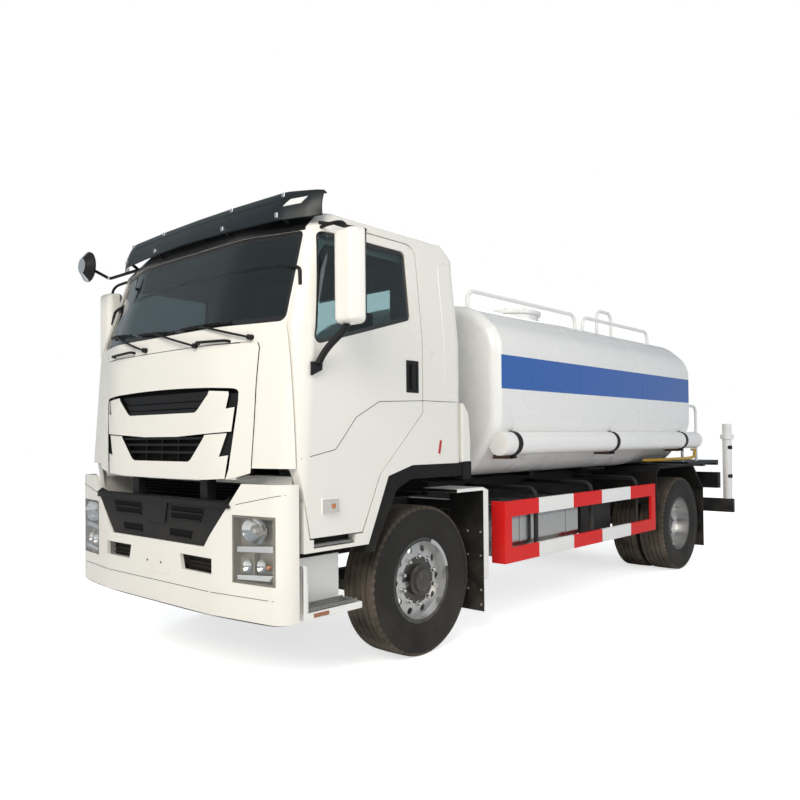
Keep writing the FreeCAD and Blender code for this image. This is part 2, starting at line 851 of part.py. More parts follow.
def bumper():
    front = aft(-S.front_overhang)
    outer = prism("bumper_outer", "plan", bumper_plan(ZERO, front), S.bumper_low_z, S.bumper_corner_top_z)
    inner = prism("bumper_inner", "plan", bumper_plan(S.bumper_wall, front + S.bumper_wall),
                  S.bumper_low_z - S.bumper_wall, S.bumper_corner_top_z + S.bumper_wall)
    reach = (front - S.bumper_wall, aft(S.bumper_rear_y) + S.bumper_wall)
    top = S.bumper_corner_top_z + S.bumper_wall
    notch = prism("bumper_notch", "front", [
        (-S.bumper_notch_top_x, top), (-S.bumper_notch_x, S.bumper_top_z),
        (S.bumper_notch_x, S.bumper_top_z), (S.bumper_notch_top_x, top),
    ], *reach)
    mouth = [(-S.insert_top_x, S.bumper_top_z), (-S.insert_low_x, S.insert_low_z),
             (S.insert_low_x, S.insert_low_z), (S.insert_top_x, S.bumper_top_z)]
    opening = prism("insert_opening", "front", mouth, *reach)
    lamp = [(S.lamp_inner_x, S.lamp_low_z), (S.lamp_outer_x, S.lamp_low_z),
            (S.lamp_outer_x, S.lamp_top_z), (S.lamp_inner_x, S.lamp_top_z)]
    hole = prism("lamp_opening", "front", lamp, *reach)
    slot = prism("slot", "front", [
        (S.slot_inner_x + S.bumper_wall, S.slot_low_z), (S.slot_outer_x, S.slot_low_z),
        (S.slot_outer_x, S.slot_top_z), (S.slot_inner_x, S.slot_top_z)], *reach)
    shell = cut("bumper_shell", outer, inner, notch, opening, hole, mirrored("lamp_opening_right", hole),
                slot, mirrored("slot_right", slot))
    gap = S.fit
    bracket = box("bumper_bracket", (S.rail_x - S.rail_width / 2, S.rail_x + S.rail_width / 2),
                  (front + S.bumper_wall / 2, aft(S.rail_front_y) - gap), (S.slot_top_z, S.insert_low_z))
    node("bumper", fuse("bumper_whole", shell, bracket, mirrored("bumper_bracket_right", bracket)))
    plate = prism("insert_plate", "front", [
        (-S.insert_top_x + gap * 2, S.bumper_top_z), (-S.insert_low_x + gap, S.insert_low_z + gap),
        (S.insert_low_x - gap, S.insert_low_z + gap), (S.insert_top_x - gap * 2, S.bumper_top_z),
    ], front + S.bumper_wall / 2, front + S.bumper_wall / 2 + S.insert_depth)
    node("bumper_grille", plate)
    body = prism("lamp_body", "front", [
        (S.lamp_inner_x + gap, S.lamp_low_z + gap), (S.lamp_outer_x - gap, S.lamp_low_z + gap),
        (S.lamp_outer_x - gap, S.lamp_top_z - gap), (S.lamp_inner_x + gap, S.lamp_top_z - gap),
    ], *reach)
    skin = prism("lamp_skin", "plan", bumper_plan(gap, front + gap), S.lamp_low_z, S.lamp_top_z)
    back = prism("lamp_back", "plan", bumper_plan(S.lamp_depth, front + S.lamp_depth),
                 S.lamp_low_z, S.lamp_top_z)
    node("headlamps", both_sides("lamps", cut("lamp", common("lamp_block", body, skin), back)))


def cab_section(name, level, half, front, rear, corner, inset):
    """The cab seen from above at one height, each side moved in by the inset."""
    wide = half - inset
    flat = S.cab_flat_x
    near = front + inset
    deep = near + corner
    back = rear - inset
    return outline(name, "plan", [
        (-wide, deep, S.cab_corner_radius - inset), (-flat, near, S.cab_bow_radius - inset),
        (flat, near, S.cab_bow_radius - inset), (wide, deep, S.cab_corner_radius - inset),
        (wide, back, S.cab_rear_radius - inset), (-wide, back, S.cab_rear_radius - inset),
    ], level)


def cab_volume(name, inset, low):
    """The whole cab as a solid whose skin lies inside the real one by the inset."""
    front = aft(S.cab_front_y)
    rear = aft(S.cab_rear_y)
    wide = S.half_width
    levels = [
        (low, wide, front, rear, S.cab_corner_depth),
        (S.cab_belt_z, wide, front + S.cab_belt_back, rear, S.cab_upper_corner_depth),
        (S.cab_header_z, wide - S.cab_header_in, front + S.cab_header_back, rear,
         S.cab_upper_corner_depth),
        (S.cab_shoulder_z - inset / 2, wide - S.cab_shoulder_in, front + S.cab_shoulder_back,
         rear - S.cab_shoulder_rear_in, S.cab_upper_corner_depth),
        (S.cab_roof_z - inset, wide - S.cab_roof_in, front + S.cab_roof_back,
         rear - S.cab_roof_rear_in, S.cab_upper_corner_depth),
    ]
    return loft(name, [cab_section(f"{name}_{i}", *level, inset) for i, level in enumerate(levels)])


def door_outline(gap):
    """The door seen from the side, smaller all round by the gap."""
    return [
        (aft(S.door_front_low_y) + gap, S.door_low_z + gap),
        (aft(S.door_low_rear_y) - gap, S.door_low_z + gap),
        (aft(S.door_step_y) - gap, S.door_step_z - gap / 2),
        (aft(S.door_rear_y) - gap, S.door_corner_z),
        (aft(S.door_rear_y) - gap, S.door_top_z - gap, S.door_corner_radius),
        (aft(S.door_front_top_y) + gap, S.door_top_z - gap),
        (aft(S.door_front_y) + gap, S.cab_belt_z),
        (aft(S.door_front_y) + gap, S.cab_corner_low_z),
    ]


def window_outline(gap):
    return [
        (aft(S.window_front_low_y) + gap, S.window_front_low_z + gap, S.window_radius),
        (aft(S.window_rear_y) - gap, S.window_rear_low_z + gap, S.window_radius),
        (aft(S.window_rear_y) - gap, S.window_top_z - gap, S.window_radius),
        (aft(S.window_front_top_y) + gap, S.window_top_z - gap, S.window_radius),
    ]


def screen_outline(gap):
    return [
        (-S.screen_half_low + gap, S.screen_low_z + gap, S.window_radius),
        (S.screen_half_low - gap, S.screen_low_z + gap, S.window_radius),
        (S.screen_half_top - gap, S.screen_top_z - gap, S.window_radius),
        (-S.screen_half_top + gap, S.screen_top_z - gap, S.window_radius),
    ]


def panel_outline(gap):
    """The lid in the cab's front, seen from ahead."""
    return [
        (-S.panel_low_half + gap, S.cab_panel_low_z + gap), (S.panel_low_half - gap, S.cab_panel_low_z + gap),
        (S.panel_half_width - gap, S.panel_shoulder_z), (S.panel_half_width - gap, S.panel_top_z - gap),
        (-S.panel_half_width + gap, S.panel_top_z - gap), (-S.panel_half_width + gap, S.panel_shoulder_z),
    ]


def arch_outline(inset):
    """The wheel arch from the side: its top and front edges come in by the inset."""
    top = S.arch_top_z - inset
    front = aft(S.arch_front_y) + inset
    low = S.cab_low_z - S.cab_wall
    return [
        (front - S.cab_wall / 2, low), (aft(S.arch_rear_y) + S.cab_wall, low),
        (aft(S.arch_rear_y) + S.cab_wall, top), (FRONT_AXLE - S.liner_depth * 2, top),
        (front + S.liner_depth * 2, top - S.liner_depth * 2 / 3),
        (front, S.cab_low_z),
    ]


def patch(name, block, skin, lining):
    """The part of a wall, between the cab's skin and its lining, that lies inside a block."""
    return cut(name, common(name + "_block", skin, block), lining)


def cab():
    front = aft(S.cab_front_y)
    rear = aft(S.cab_rear_y)
    ahead = front - S.cab_wall
    door_depth = S.half_width - S.cab_wall - S.skirt_width / 2
    beyond = S.half_width + S.cab_wall
    below = S.cab_low_z - S.cab_wall
    skin = cab_volume("cab_skin", ZERO, S.cab_low_z)
    lining = cab_volume("cab_lining", S.cab_wall, below)
    floor = box("cab_floor", (-beyond, beyond), (ahead, rear + S.cab_wall), (below, S.cab_floor_z + S.cab_wall))
    bulkhead = box("cab_bulkhead", (-beyond, beyond), (ahead, front + S.firewall_back + S.firewall_wall),
                   (below, S.panel_top_z + S.firewall_wall))
    raised = box("raised_floor", (-beyond, beyond), (aft(S.arch_front_y), rear + S.cab_wall),
                 (below, S.arch_top_z + S.cab_wall))
    room = cut("cab_room", lining, floor, raised, bulkhead)
    well = S.half_width - S.skirt_width
    under = box("cab_under", (-well, well), (ahead, rear + S.cab_wall), (below, S.cab_floor_z))
    nose = box("cab_nose", (-beyond, beyond), (ahead, aft(S.cab_post_y)), (below, S.cab_corner_low_z))
    lip = box("nose_lip", (-S.panel_half_width, S.panel_half_width), (ahead, aft(S.cab_post_y)),
              (S.cab_panel_low_z, S.cab_corner_low_z + S.fit))
    arch = prism("arch", "side", arch_outline(ZERO), -beyond, beyond)
    door = prism("door_opening", "side", door_outline(ZERO), door_depth, beyond)
    screen = prism("screen_opening", "front", screen_outline(ZERO), ahead, front + S.cab_header_back * 2)
    panel = prism("panel_opening", "front", panel_outline(ZERO), ahead, front + S.firewall_back)
    back = box("rear_window_opening", (-S.rear_window_half, S.rear_window_half),
               (rear - S.cab_wall * 2, rear + S.cab_wall), (S.rear_window_low_z, S.rear_window_top_z))
    node("cab_shell", cut("cab_body", skin, room, under, cut("nose_cut", nose, lip), arch, door,
                          mirrored("door_opening_right", door), screen, panel, back))
    pane_skin = cab_volume("pane_skin", S.glass_inset, S.cab_low_z)
    pane_lining = cab_volume("pane_lining", S.glass_inset + S.glass_wall, below)
    glass = prism("screen_pane", "front", screen_outline(S.fit), ahead, front + S.cab_header_back * 2)
    back_pane = box("rear_pane", (-S.rear_window_half + S.fit, S.rear_window_half - S.fit),
                    (rear - S.cab_wall / 2, rear - S.cab_wall / 2 + S.glass_wall),
                    (S.rear_window_low_z + S.fit, S.rear_window_top_z - S.fit))
    node("cab_glass", together("cab_panes", patch("windscreen", glass, pane_skin, pane_lining), back_pane))
    leaf = prism("door_leaf", "side", door_outline(S.panel_gap), door_depth, beyond)
    window = prism("window_opening", "side", window_outline(ZERO), ZERO, beyond)
    left = cut("door", patch("door_panel", leaf, skin, lining), window)
    node("door_left", left)
    node("door_right", mirrored("door_other", left))
    side_glass = prism("side_pane", "side", window_outline(S.fit), door_depth, beyond)
    left_glass = patch("door_glass", side_glass, pane_skin, pane_lining)
    node("door_glass_left", left_glass)
    node("door_glass_right", mirrored("door_glass_other", left_glass))
    front_lid(skin, ahead, front)
    outer_face = S.half_width - S.grille_bar
    liner = cut("liner", prism("liner_outer", "side", arch_outline(S.fit),
                               S.half_width - S.liner_width, outer_face),
                prism("liner_inner", "side", arch_outline(S.liner_depth), ZERO, beyond))
    trimmed = cut("liner_trimmed", liner, box("liner_rear", (ZERO, beyond), (rear, rear + S.cab_wall * 4),
                                              (below, S.arch_top_z)))
    node("arch_liners", both_sides("liners", trimmed))


def front_lid(skin, ahead, front):
    """The lid in the cab's front and the grille behind its two mouths."""
    lining = cab_volume("lid_lining", S.panel_thickness, S.cab_low_z - S.cab_wall)
    block = prism("lid_block", "front", panel_outline(S.panel_gap), ahead, front + S.firewall_back)
    mouths = []
    wide = S.grille_half_width
    for name, low, top in (("upper", S.upper_grille_low_z, S.upper_grille_top_z),
                           ("lower", S.lower_grille_low_z, S.lower_grille_top_z)):
        mouths.append(prism(name + "_mouth", "front", [
            (-wide + S.grille_taper, low), (wide - S.grille_taper, low), (wide, top), (-wide, top),
        ], ahead, front + S.firewall_back))
    node("front_panel", cut("lid_panel", patch("lid_body", block, skin, lining), *mouths))
    seat = S.panel_thickness + S.grille_clearance
    near = cab_volume("grille_skin", seat, S.cab_low_z)
    far = cab_volume("grille_lining", seat + S.grille_bar, S.cab_low_z - S.cab_wall)
    rim = S.grille_bar * 2
    backing = box("grille_block", (-wide - rim, wide + rim), (ahead, front + S.firewall_back),
                  (S.lower_grille_low_z - rim, S.upper_grille_top_z + rim))
    node("panel_grille", patch("grille_backing", backing, near, far))


def visor_volume(name, inset):
    """The space inside the sun visor, which sweeps back at its ends as the windscreen does."""
    below = inset / 2
    levels = [
        (S.visor_low_z - below, S.visor_half, aft(S.visor_front_y), aft(S.visor_back_y), S.visor_sweep),
        (S.visor_top_z + below, S.visor_half - S.visor_top_in, aft(S.visor_top_front_y),
         aft(S.visor_back_y), S.visor_sweep / 2),
    ]
    return loft(name, [cab_section(f"{name}_{i}", *level, inset) for i, level in enumerate(levels)])


def cab_fittings():
    clear = cab_volume("cab_clear", -S.fit, S.cab_low_z)
    outside = visor_volume("visor_skin", ZERO)
    inside = visor_volume("visor_lining", S.visor_thickness)
    edge = [(-S.half_width, S.visor_end_low_z), (-S.cab_flat_x, S.visor_low_z), (S.cab_flat_x, S.visor_low_z),
            (S.half_width, S.visor_end_low_z), (S.half_width, S.visor_top_z), (-S.half_width, S.visor_top_z)]
    block = prism("visor_block", "front", edge, aft(S.visor_front_y), aft(S.visor_rear_y))
    arms = []
    for i, x in enumerate((-S.visor_arm_x, ZERO, S.visor_arm_x)):
        arm = box(f"visor_arm_{i}", (x - S.visor_thickness, x + S.visor_thickness),
                  (aft(S.visor_front_y), aft(S.visor_rear_y) + S.visor_arm_back),
                  (S.cab_shoulder_z - S.visor_thickness, S.cab_shoulder_z + S.visor_arm_rise))
        arms.append(common(f"visor_arm_{i}_trimmed", arm, outside))
    visor = fuse("visor_whole", patch("visor_band", block, outside, inside), *arms)
    node("sun_visor", cut("visor", visor, clear))
    y, z = aft(S.round_mirror_y), S.round_mirror_z
    x = -S.round_mirror_x
    bowl = turned("round_bowl", "y", (x, z), [
        (y - S.round_mirror_depth, ZERO), (y - S.round_mirror_depth, S.round_mirror_radius / 2),
        (y, S.round_mirror_radius), (y + S.round_mirror_arm, S.round_mirror_radius),
        (y + S.round_mirror_arm, ZERO)])
    foot_y, foot_z = aft(S.round_mirror_foot_y), S.round_mirror_foot_z
    arm = pipe("round_arm", [(x, y, z), (x, foot_y, foot_z), (-S.visor_arm_x, foot_y, foot_z)],
               S.round_mirror_arm, S.round_mirror_arm * 2)
    node("front_mirror", cut("round_mirror", fuse("round_whole", bowl, arm), clear))


def seats_and_dash():
    y = aft(S.seat_front_y)
    end = y + S.seat_length
    low = S.seat_low_z
    top = low + S.seat_thickness
    seat = prism("seat", "side", [
        (y, low), (end, low), (end + S.seat_thickness, top + S.seat_back_height),
        (end, top + S.seat_back_height), (end - S.seat_thickness, top), (y, top),
    ], S.seat_x - S.seat_half_width, S.seat_x + S.seat_half_width)
    base = box("seat_base", (S.seat_x - S.seat_half_width * 0.8, S.seat_x + S.seat_half_width * 0.8),
               (y + S.seat_thickness / 2, end - S.seat_thickness / 2), (S.arch_top_z + S.cab_wall + S.fit, low))
    node("seats", both_sides("seat_pair", fuse("seat_whole", seat, base)))
    wide = S.half_width - S.cab_wall * 3
    face = aft(S.cab_front_y) + S.firewall_back + S.firewall_wall + S.fit
    dash = box("dash", (-wide, wide), (face, face + S.dash_depth), (S.dash_low_z, S.dash_top_z))
    dash_room = cab_volume("dash_room", S.cab_wall + S.fit, S.cab_low_z - S.cab_wall)
    node("dashboard", common("dash_fitted", dash, dash_room))
    ring = doc.addObject("Part::Torus", "wheel_rim")
    bind(ring, "Radius1", S.wheel_rim_radius)
    bind(ring, "Radius2", S.wheel_rim_tube)
    place(ring, S.seat_x, aft(S.wheel_y), S.wheel_z)
    low_end = (S.seat_x, face + S.dash_depth - S.column_radius, S.dash_top_z - S.column_radius * 2)
    tilted = pipe("steering_column", [low_end, (S.seat_x, aft(S.wheel_y), S.wheel_z)], S.column_radius)
    column = cut("column_trimmed", tilted, box("dash_face", (-wide, wide), (face, face + S.dash_depth + S.fit),
                                               (S.dash_low_z, S.dash_top_z + S.column_radius)))
    bar = box("wheel_spoke", (S.seat_x - S.wheel_rim_radius, S.seat_x + S.wheel_rim_radius),
              (aft(S.wheel_y) - S.column_radius, aft(S.wheel_y) + S.column_radius),
              (S.wheel_z - S.wheel_rim_tube, S.wheel_z))
    node("steering_wheel", fuse("steering", ring, bar, column))


def door_mirrors():
    x, z = S.mirror_x, S.mirror_low_z
    y = aft(S.mirror_y)
    shell = box("mirror_shell", (x, x + S.mirror_width), (y - S.mirror_depth / 2, y + S.mirror_depth / 2),
                (z, S.mirror_top_z))
    arm_x = x + S.mirror_width / 3
    arm = pipe("mirror_arm", [(arm_x, y, z), (arm_x, y, S.mirror_foot_z),
                              (S.half_width + S.fit, y, S.mirror_foot_z)],
               S.mirror_arm_radius, S.mirror_arm_radius * 2)
    left = fuse("mirror", shell, arm)
    node("mirror_left", left)
    node("mirror_right", mirrored("mirror_other", left))


def steps():
    wall = S.step_wall
    outer = S.half_width - S.panel_gap
    y = (aft(S.step_front_y), aft(S.step_rear_y))
    z = (S.step_low_z, S.step_top_z)
    block = box("step_box", (S.step_inner_x, outer), y, z)
    room = box("step_room", (S.step_inner_x + wall, outer + wall), (y[0] + wall, y[1] + wall),
               (S.step_tread_z, S.step_top_z + wall))
    link = box("step_link", (S.rail_x + S.rail_width / 2 + S.fit, S.step_inner_x), (y[0] + wall, y[0] + wall * 4),
               (S.step_top_z - wall * 3, S.step_top_z))
    node("entry_steps", both_sides("steps", fuse("step", cut("step_shell", block, room), link)))
    wing = prism("wing", "side", [
        (aft(S.guard_wing_front_y), S.guard_wing_top_z - wall), (aft(S.guard_wing_y), S.guard_wing_top_z - wall),
        (aft(S.guard_wing_y), S.guard_wing_low_z), (aft(S.guard_wing_rear_y), S.guard_wing_low_z),
        (aft(S.guard_wing_rear_y), S.guard_wing_top_z - wall), (aft(S.guard_wing_y), S.guard_wing_top_z),
        (aft(S.guard_wing_front_y), S.guard_wing_top_z),
    ], S.guard_wing_inner_x, outer)
    flap = box("front_flap", (S.guard_wing_inner_x, outer), (aft(S.guard_wing_y), aft(S.guard_wing_y) + S.flap_thickness),
               (S.flap_low_z, S.guard_wing_low_z))
    bracket = box("wing_bracket", (S.rail_x + S.rail_width / 2 + S.fit, S.guard_wing_inner_x),
                  (aft(S.guard_wing_y), aft(S.guard_wing_rear_y)),
                  (S.rail_top_z - wall * 3, S.rail_top_z))
    node("front_mudguards", both_sides("wings", fuse("wing_whole", wing, flap, bracket)))


def tank_outline(gap):
    """The tank's cross section, larger all round by the gap."""
    side = S.tank_half_width + gap
    low = S.tank_low_z - gap
    right = [
        (S.tank_bottom_x, low, S.tank_side_radius), (side, S.tank_side_low_z, S.tank_side_radius),
        (side, S.tank_side_top_z, S.tank_side_radius),
        (S.tank_shoulder_x, S.tank_shoulder_z + gap, S.tank_shoulder_radius),
    ]
    left = [(-x, z, r) for x, z, r in reversed(right)]
    return right + [(ZERO, S.tank_top_z + gap, S.tank_crown_radius)] + left


def tank():
    body = doc.addObject("PartDesign::Body", "tank_body")
    plane = [part for part in body.Origin.OriginFeatures if part.Role == "XZ_Plane"][0]
    sketch = body.newObject("Sketcher::SketchObject", "tank_section")
    sketch.AttachmentSupport = [(plane, "")]
    sketch.MapMode = "FlatFace"
    draw(sketch, tank_outline(ZERO))
    pad = body.newObject("PartDesign::Pad", "tank_length")
    pad.Profile = sketch
    pad.Reversed = True
    bind(pad, "Length", S.tank_rear_y - S.tank_front_y)
    doc.recompute()
    ends = [f"Face{i}" for i, face in enumerate(pad.Shape.Faces, 1)
            if abs(face.normalAt(0, 0).y) > 0.99 and face.Area > 1e6]
    round_off = body.newObject("PartDesign::Fillet", "tank_ends")
    round_off.Base = (pad, ends)
    bind(round_off, "Radius", S.tank_end_radius)
    body.Tip = round_off
    place(body, ZERO, aft(S.tank_front_y), ZERO)
    neck = rod("manhole_neck", "z", (ZERO, aft(S.manhole_y)), S.manhole_radius,
               S.tank_shoulder_z, S.tank_top_z + S.manhole_neck_height)
    node("tank_shell", fuse("tank", body, neck))
    top = S.tank_top_z + S.manhole_neck_height + S.fit
    lid = rod("lid", "z", (ZERO, aft(S.manhole_y)), S.manhole_radius + S.lid_overhang,
              top, top + S.lid_thickness)
    node("manhole_lid", lid)
    deck = S.rail_top_z + S.subframe_height
    seat = prism("tank_seat", "front", tank_outline(S.fit), aft(S.tank_front_y), aft(S.tank_rear_y))
    saddles = []
    for i in range(4):
        y = aft(S.saddle_first_y) + S.saddle_spacing * i
        block = box(f"saddle_block_{i}", (-S.saddle_half_width, S.saddle_half_width),
                    (y, y + S.saddle_thickness), (deck, S.saddle_top_z))
        saddles.append(cut(f"saddle_{i}", block, seat))
    node("tank_saddles", together("saddles", *saddles))


def roof_rails():
    x = S.roof_rail_x
    top = S.roof_rail_top_z
    foot = S.tank_shoulder_z - S.roof_rail_radius
    pipes = []
    for name, start, end in (("front_rail", S.front_rail_start_y, S.front_rail_end_y),
                             ("rear_rail", S.rear_rail_start_y, S.rear_rail_end_y)):
        pipes.append(pipe(name, [(x, aft(start), foot), (x, aft(start), top),
                                 (x, aft(end), top), (x, aft(end), foot)],
                          S.roof_rail_radius, S.roof_rail_bend))
    hoop_x = S.hoop_x
    pipes.append(pipe("hoop", [(hoop_x, aft(S.hoop_front_y), foot), (hoop_x, aft(S.hoop_front_y), S.hoop_top_z),
                               (hoop_x, aft(S.hoop_rear_y), S.hoop_top_z), (hoop_x, aft(S.hoop_rear_y), foot)],
                      S.roof_rail_radius, S.roof_rail_bend))
    seat = prism("rail_seat", "front", tank_outline(S.fit), aft(S.tank_front_y), aft(S.tank_rear_y))
    rails = [cut(bar.Name + "_seated", bar, seat) for bar in pipes]
    node("roof_rails", both_sides("rails", together("rails_left", *rails)))


def hose_tubes():
    centre = (S.hose_tube_x, S.hose_tube_z)
    tube = rod("hose_tube", "y", centre, S.hose_tube_radius, aft(S.hose_tube_front_y), aft(S.hose_tube_end_y))
    seat = prism("hose_seat", "front", tank_outline(S.fit), aft(S.tank_front_y), aft(S.tank_rear_y))
    trimmed = cut("hose_tube_trimmed", tube, seat)
    node("hose_tubes", both_sides("hose_pair", trimmed))
    bands = []
    for i in range(3):
        y = aft(S.hose_band_first_y) + S.hose_band_spacing * i
        outer = rod(f"band_{i}", "y", centre, S.hose_tube_radius + S.fit + S.hose_band_wall, y, y + S.hose_band_width)
        bore = rod(f"band_bore_{i}", "y", centre, S.hose_tube_radius + S.fit, y - S.fit, y + S.hose_band_width + S.fit)
        bands.append(cut(f"band_ring_{i}", outer, bore, seat))
    node("hose_bands", both_sides("band_pairs", together("bands_left", *bands)))


def side_guards():
    outer = S.guard_x + S.guard_rail_thickness / 2
    inner = outer - S.guard_rail_thickness
    y0, y1 = aft(S.guard_front_y), aft(S.guard_rear_y)
    pieces = [
        box("guard_top", (inner, outer), (y0, y1), (S.guard_top_low_z, S.guard_top_z)),
        box("guard_bottom", (inner, outer), (y0, y1), (S.guard_low_z, S.guard_low_top_z)),
        box("guard_front", (inner, outer), (y0, y0 + S.guard_upright), (S.guard_low_z, S.guard_top_z)),
        box("guard_rear", (inner, outer), (y1 - S.guard_upright, y1), (S.guard_low_z, S.guard_top_z)),
        box("guard_side", (outer - S.guard_return, outer), (y0, y0 + S.guard_rail_thickness),
            (S.guard_low_z, S.guard_top_z)),
    ]
    node("side_guards", both_sides("guards", fuse("guard", *pieces)))
    pipes = []
    top = S.rail_top_z + S.subframe_height / 2
    for i in range(3):
        y = aft(S.hanger_first_y) + S.hanger_spacing * i
        x = inner - S.hanger_radius - S.fit
        pipes.append(pipe(f"hanger_{i}", [(x, y, S.guard_low_z), (x, y, top),
                                          (S.rail_x + S.rail_width / 2 + S.fit, y, top)],
                          S.hanger_radius, S.hanger_bend))
    node("guard_hangers", both_sides("hangers", together("hangers_left", *pipes)))


def fuel_tank():
    x0 = S.fuel_outer_x - S.fuel_width
    r = S.fuel_corner_radius
    section = [(x0, S.fuel_low_z, r), (S.fuel_outer_x, S.fuel_low_z, r),
               (S.fuel_outer_x, S.fuel_top_z, r), (x0, S.fuel_top_z, r)]
    y0, y1 = aft(S.fuel_front_y), aft(S.fuel_rear_y)
    node("fuel_tank", prism("fuel_body", "front", section, y0, y1))
    gap = S.fit
    wall = S.fuel_strap_wall + gap
    wide = [(x0 - wall, S.fuel_low_z - wall, r + wall), (S.fuel_outer_x + wall, S.fuel_low_z - wall, r + wall),
            (S.fuel_outer_x + wall, S.fuel_top_z + wall, r + wall), (x0 - wall, S.fuel_top_z + wall, r + wall)]
    tight = [(x0 - gap, S.fuel_low_z - gap, r + gap), (S.fuel_outer_x + gap, S.fuel_low_z - gap, r + gap),
             (S.fuel_outer_x + gap, S.fuel_top_z + gap, r + gap), (x0 - gap, S.fuel_top_z + gap, r + gap)]
    straps = []
    for i, y in enumerate((y0 + S.fuel_strap_end, y1 - S.fuel_strap_end - S.fuel_strap_width)):
        reach = (y, y + S.fuel_strap_width)
        ring = cut(f"strap_ring_{i}", prism(f"strap_outer_{i}", "front", wide, *reach),
                   prism(f"strap_inner_{i}", "front", tight, *reach))
        arm = box(f"strap_arm_{i}", (S.rail_x + S.rail_width / 2 + gap, x0 - wall), reach,
                  (S.rail_top_z - S.rail_height, S.fuel_top_z - r))
        straps.append(fuse(f"strap_{i}", ring, arm))
    node("fuel_straps", together("straps", *straps))


def boxes():
    y = aft(S.battery_front_y)
    x1 = S.battery_outer_x
    inner = S.rail_x + S.rail_width / 2 + S.fit
    box_body = box("battery_body", (x1 - S.battery_width, x1), (y, y + S.battery_length),
                   (S.battery_low_z, S.battery_low_z + S.battery_height))
    arm = box("battery_arm", (inner, x1 - S.battery_width), (y + S.battery_length / 4, y + S.battery_length * 3 / 4),
              (S.rail_top_z - S.rail_height, S.battery_low_z + S.battery_height))
    node("battery_box", fuse("battery", box_body, arm))
    tanks = []
    for i, offset in enumerate((ZERO, S.battery_length)):
        start = aft(S.fuel_front_y) + offset * 2
        can = rod(f"air_tank_{i}", "y", (-S.air_tank_x, S.air_tank_z), S.air_tank_radius,
                  start, start + S.battery_length * 1.6)
        hook = box(f"air_hook_{i}", (-S.air_tank_x, -inner), (start + S.battery_length / 2, start + S.battery_length),
                   (S.air_tank_z, S.air_tank_z + S.rail_wall * 4))
        tanks.append(fuse(f"air_tank_whole_{i}", can, hook))
    node("air_tanks", together("air_pair", *tanks))


def rear_wings():
    t = S.rear_wing_thickness
    y0, y1 = aft(S.rear_wing_front_y), aft(S.rear_wing_top_front_y)
    y2, y3 = aft(S.rear_wing_top_rear_y), aft(S.rear_wing_rear_y)
    top, shoulder = S.rear_wing_top_z, S.rear_wing_shoulder_z
    wing = prism("rear_wing", "side", [
        (y0, S.rear_wing_front_low_z), (y0 + t, S.rear_wing_front_low_z), (y0 + t, shoulder),
        (y1 + t, top - t), (y2 - t, top - t), (y3 - t, S.rear_wing_rear_low_z),
        (y3, S.rear_wing_rear_low_z), (y2, top), (y1, top), (y0, shoulder),
    ], S.rear_wing_inner_x, S.rear_wing_outer_x)
    flap = box("rear_flap", (S.rear_wing_inner_x, S.rear_wing_outer_x), (y3 - t, y3 - t + S.flap_thickness),
               (S.rear_flap_low_z, S.rear_wing_rear_low_z))
    arm = box("rear_wing_arm", (S.rail_x + S.rail_width / 2 + S.fit, S.rear_wing_inner_x), (y0, y0 + t),
              (S.rear_wing_front_low_z + t, shoulder))
    back_arm = box("rear_wing_back_arm", (S.rail_x + S.rail_width / 2 + S.fit, S.rear_wing_inner_x), (y3 - t, y3),
                   (S.rear_wing_rear_low_z - t * 2, S.rear_wing_rear_low_z + t))
    node("rear_mudguards", both_sides("rear_wings_pair", fuse("rear_wing_whole", wing, flap, arm, back_arm)))


def platform():
    y0, y1 = aft(S.platform_front_y), aft(S.platform_rear_y)
    wide = S.platform_half_width
    deck = box("deck", (-wide, wide), (y0, y1), (S.platform_z, S.platform_z + S.platform_thickness))
    foot = S.rail_top_z + S.subframe_height
    beams = []
    for i, y in enumerate((y0, aft(S.railing_rear_y), y1 - S.saddle_thickness)):
        beams.append(box(f"deck_beam_{i}", (-wide, wide), (y, y + S.saddle_thickness), (foot, S.platform_z)))
    post = rod("cannon_column", "z", (ZERO, aft(S.cannon_y)), S.cannon_post_radius, S.platform_z,
               S.platform_z + S.platform_thickness + S.cannon_post_height)
    node("rear_platform", fuse("platform", deck, post, *beams))
    floor = S.platform_z + S.platform_thickness
    x = S.railing_x
    r = S.railing_tube
    front, rear = y0 + r * 2, aft(S.railing_rear_y)
    hoop = pipe("railing_hoop", [(x, front, floor), (x, front, S.railing_top_z),
                                 (x, rear, S.railing_top_z), (x, rear, floor)], r, S.roof_rail_bend)
    middle = rod("railing_middle", "y", (x, S.railing_mid_z), S.railing_middle_tube, front, rear)
    node("platform_railing", both_sides("railings", fuse("railing", hoop, middle)))


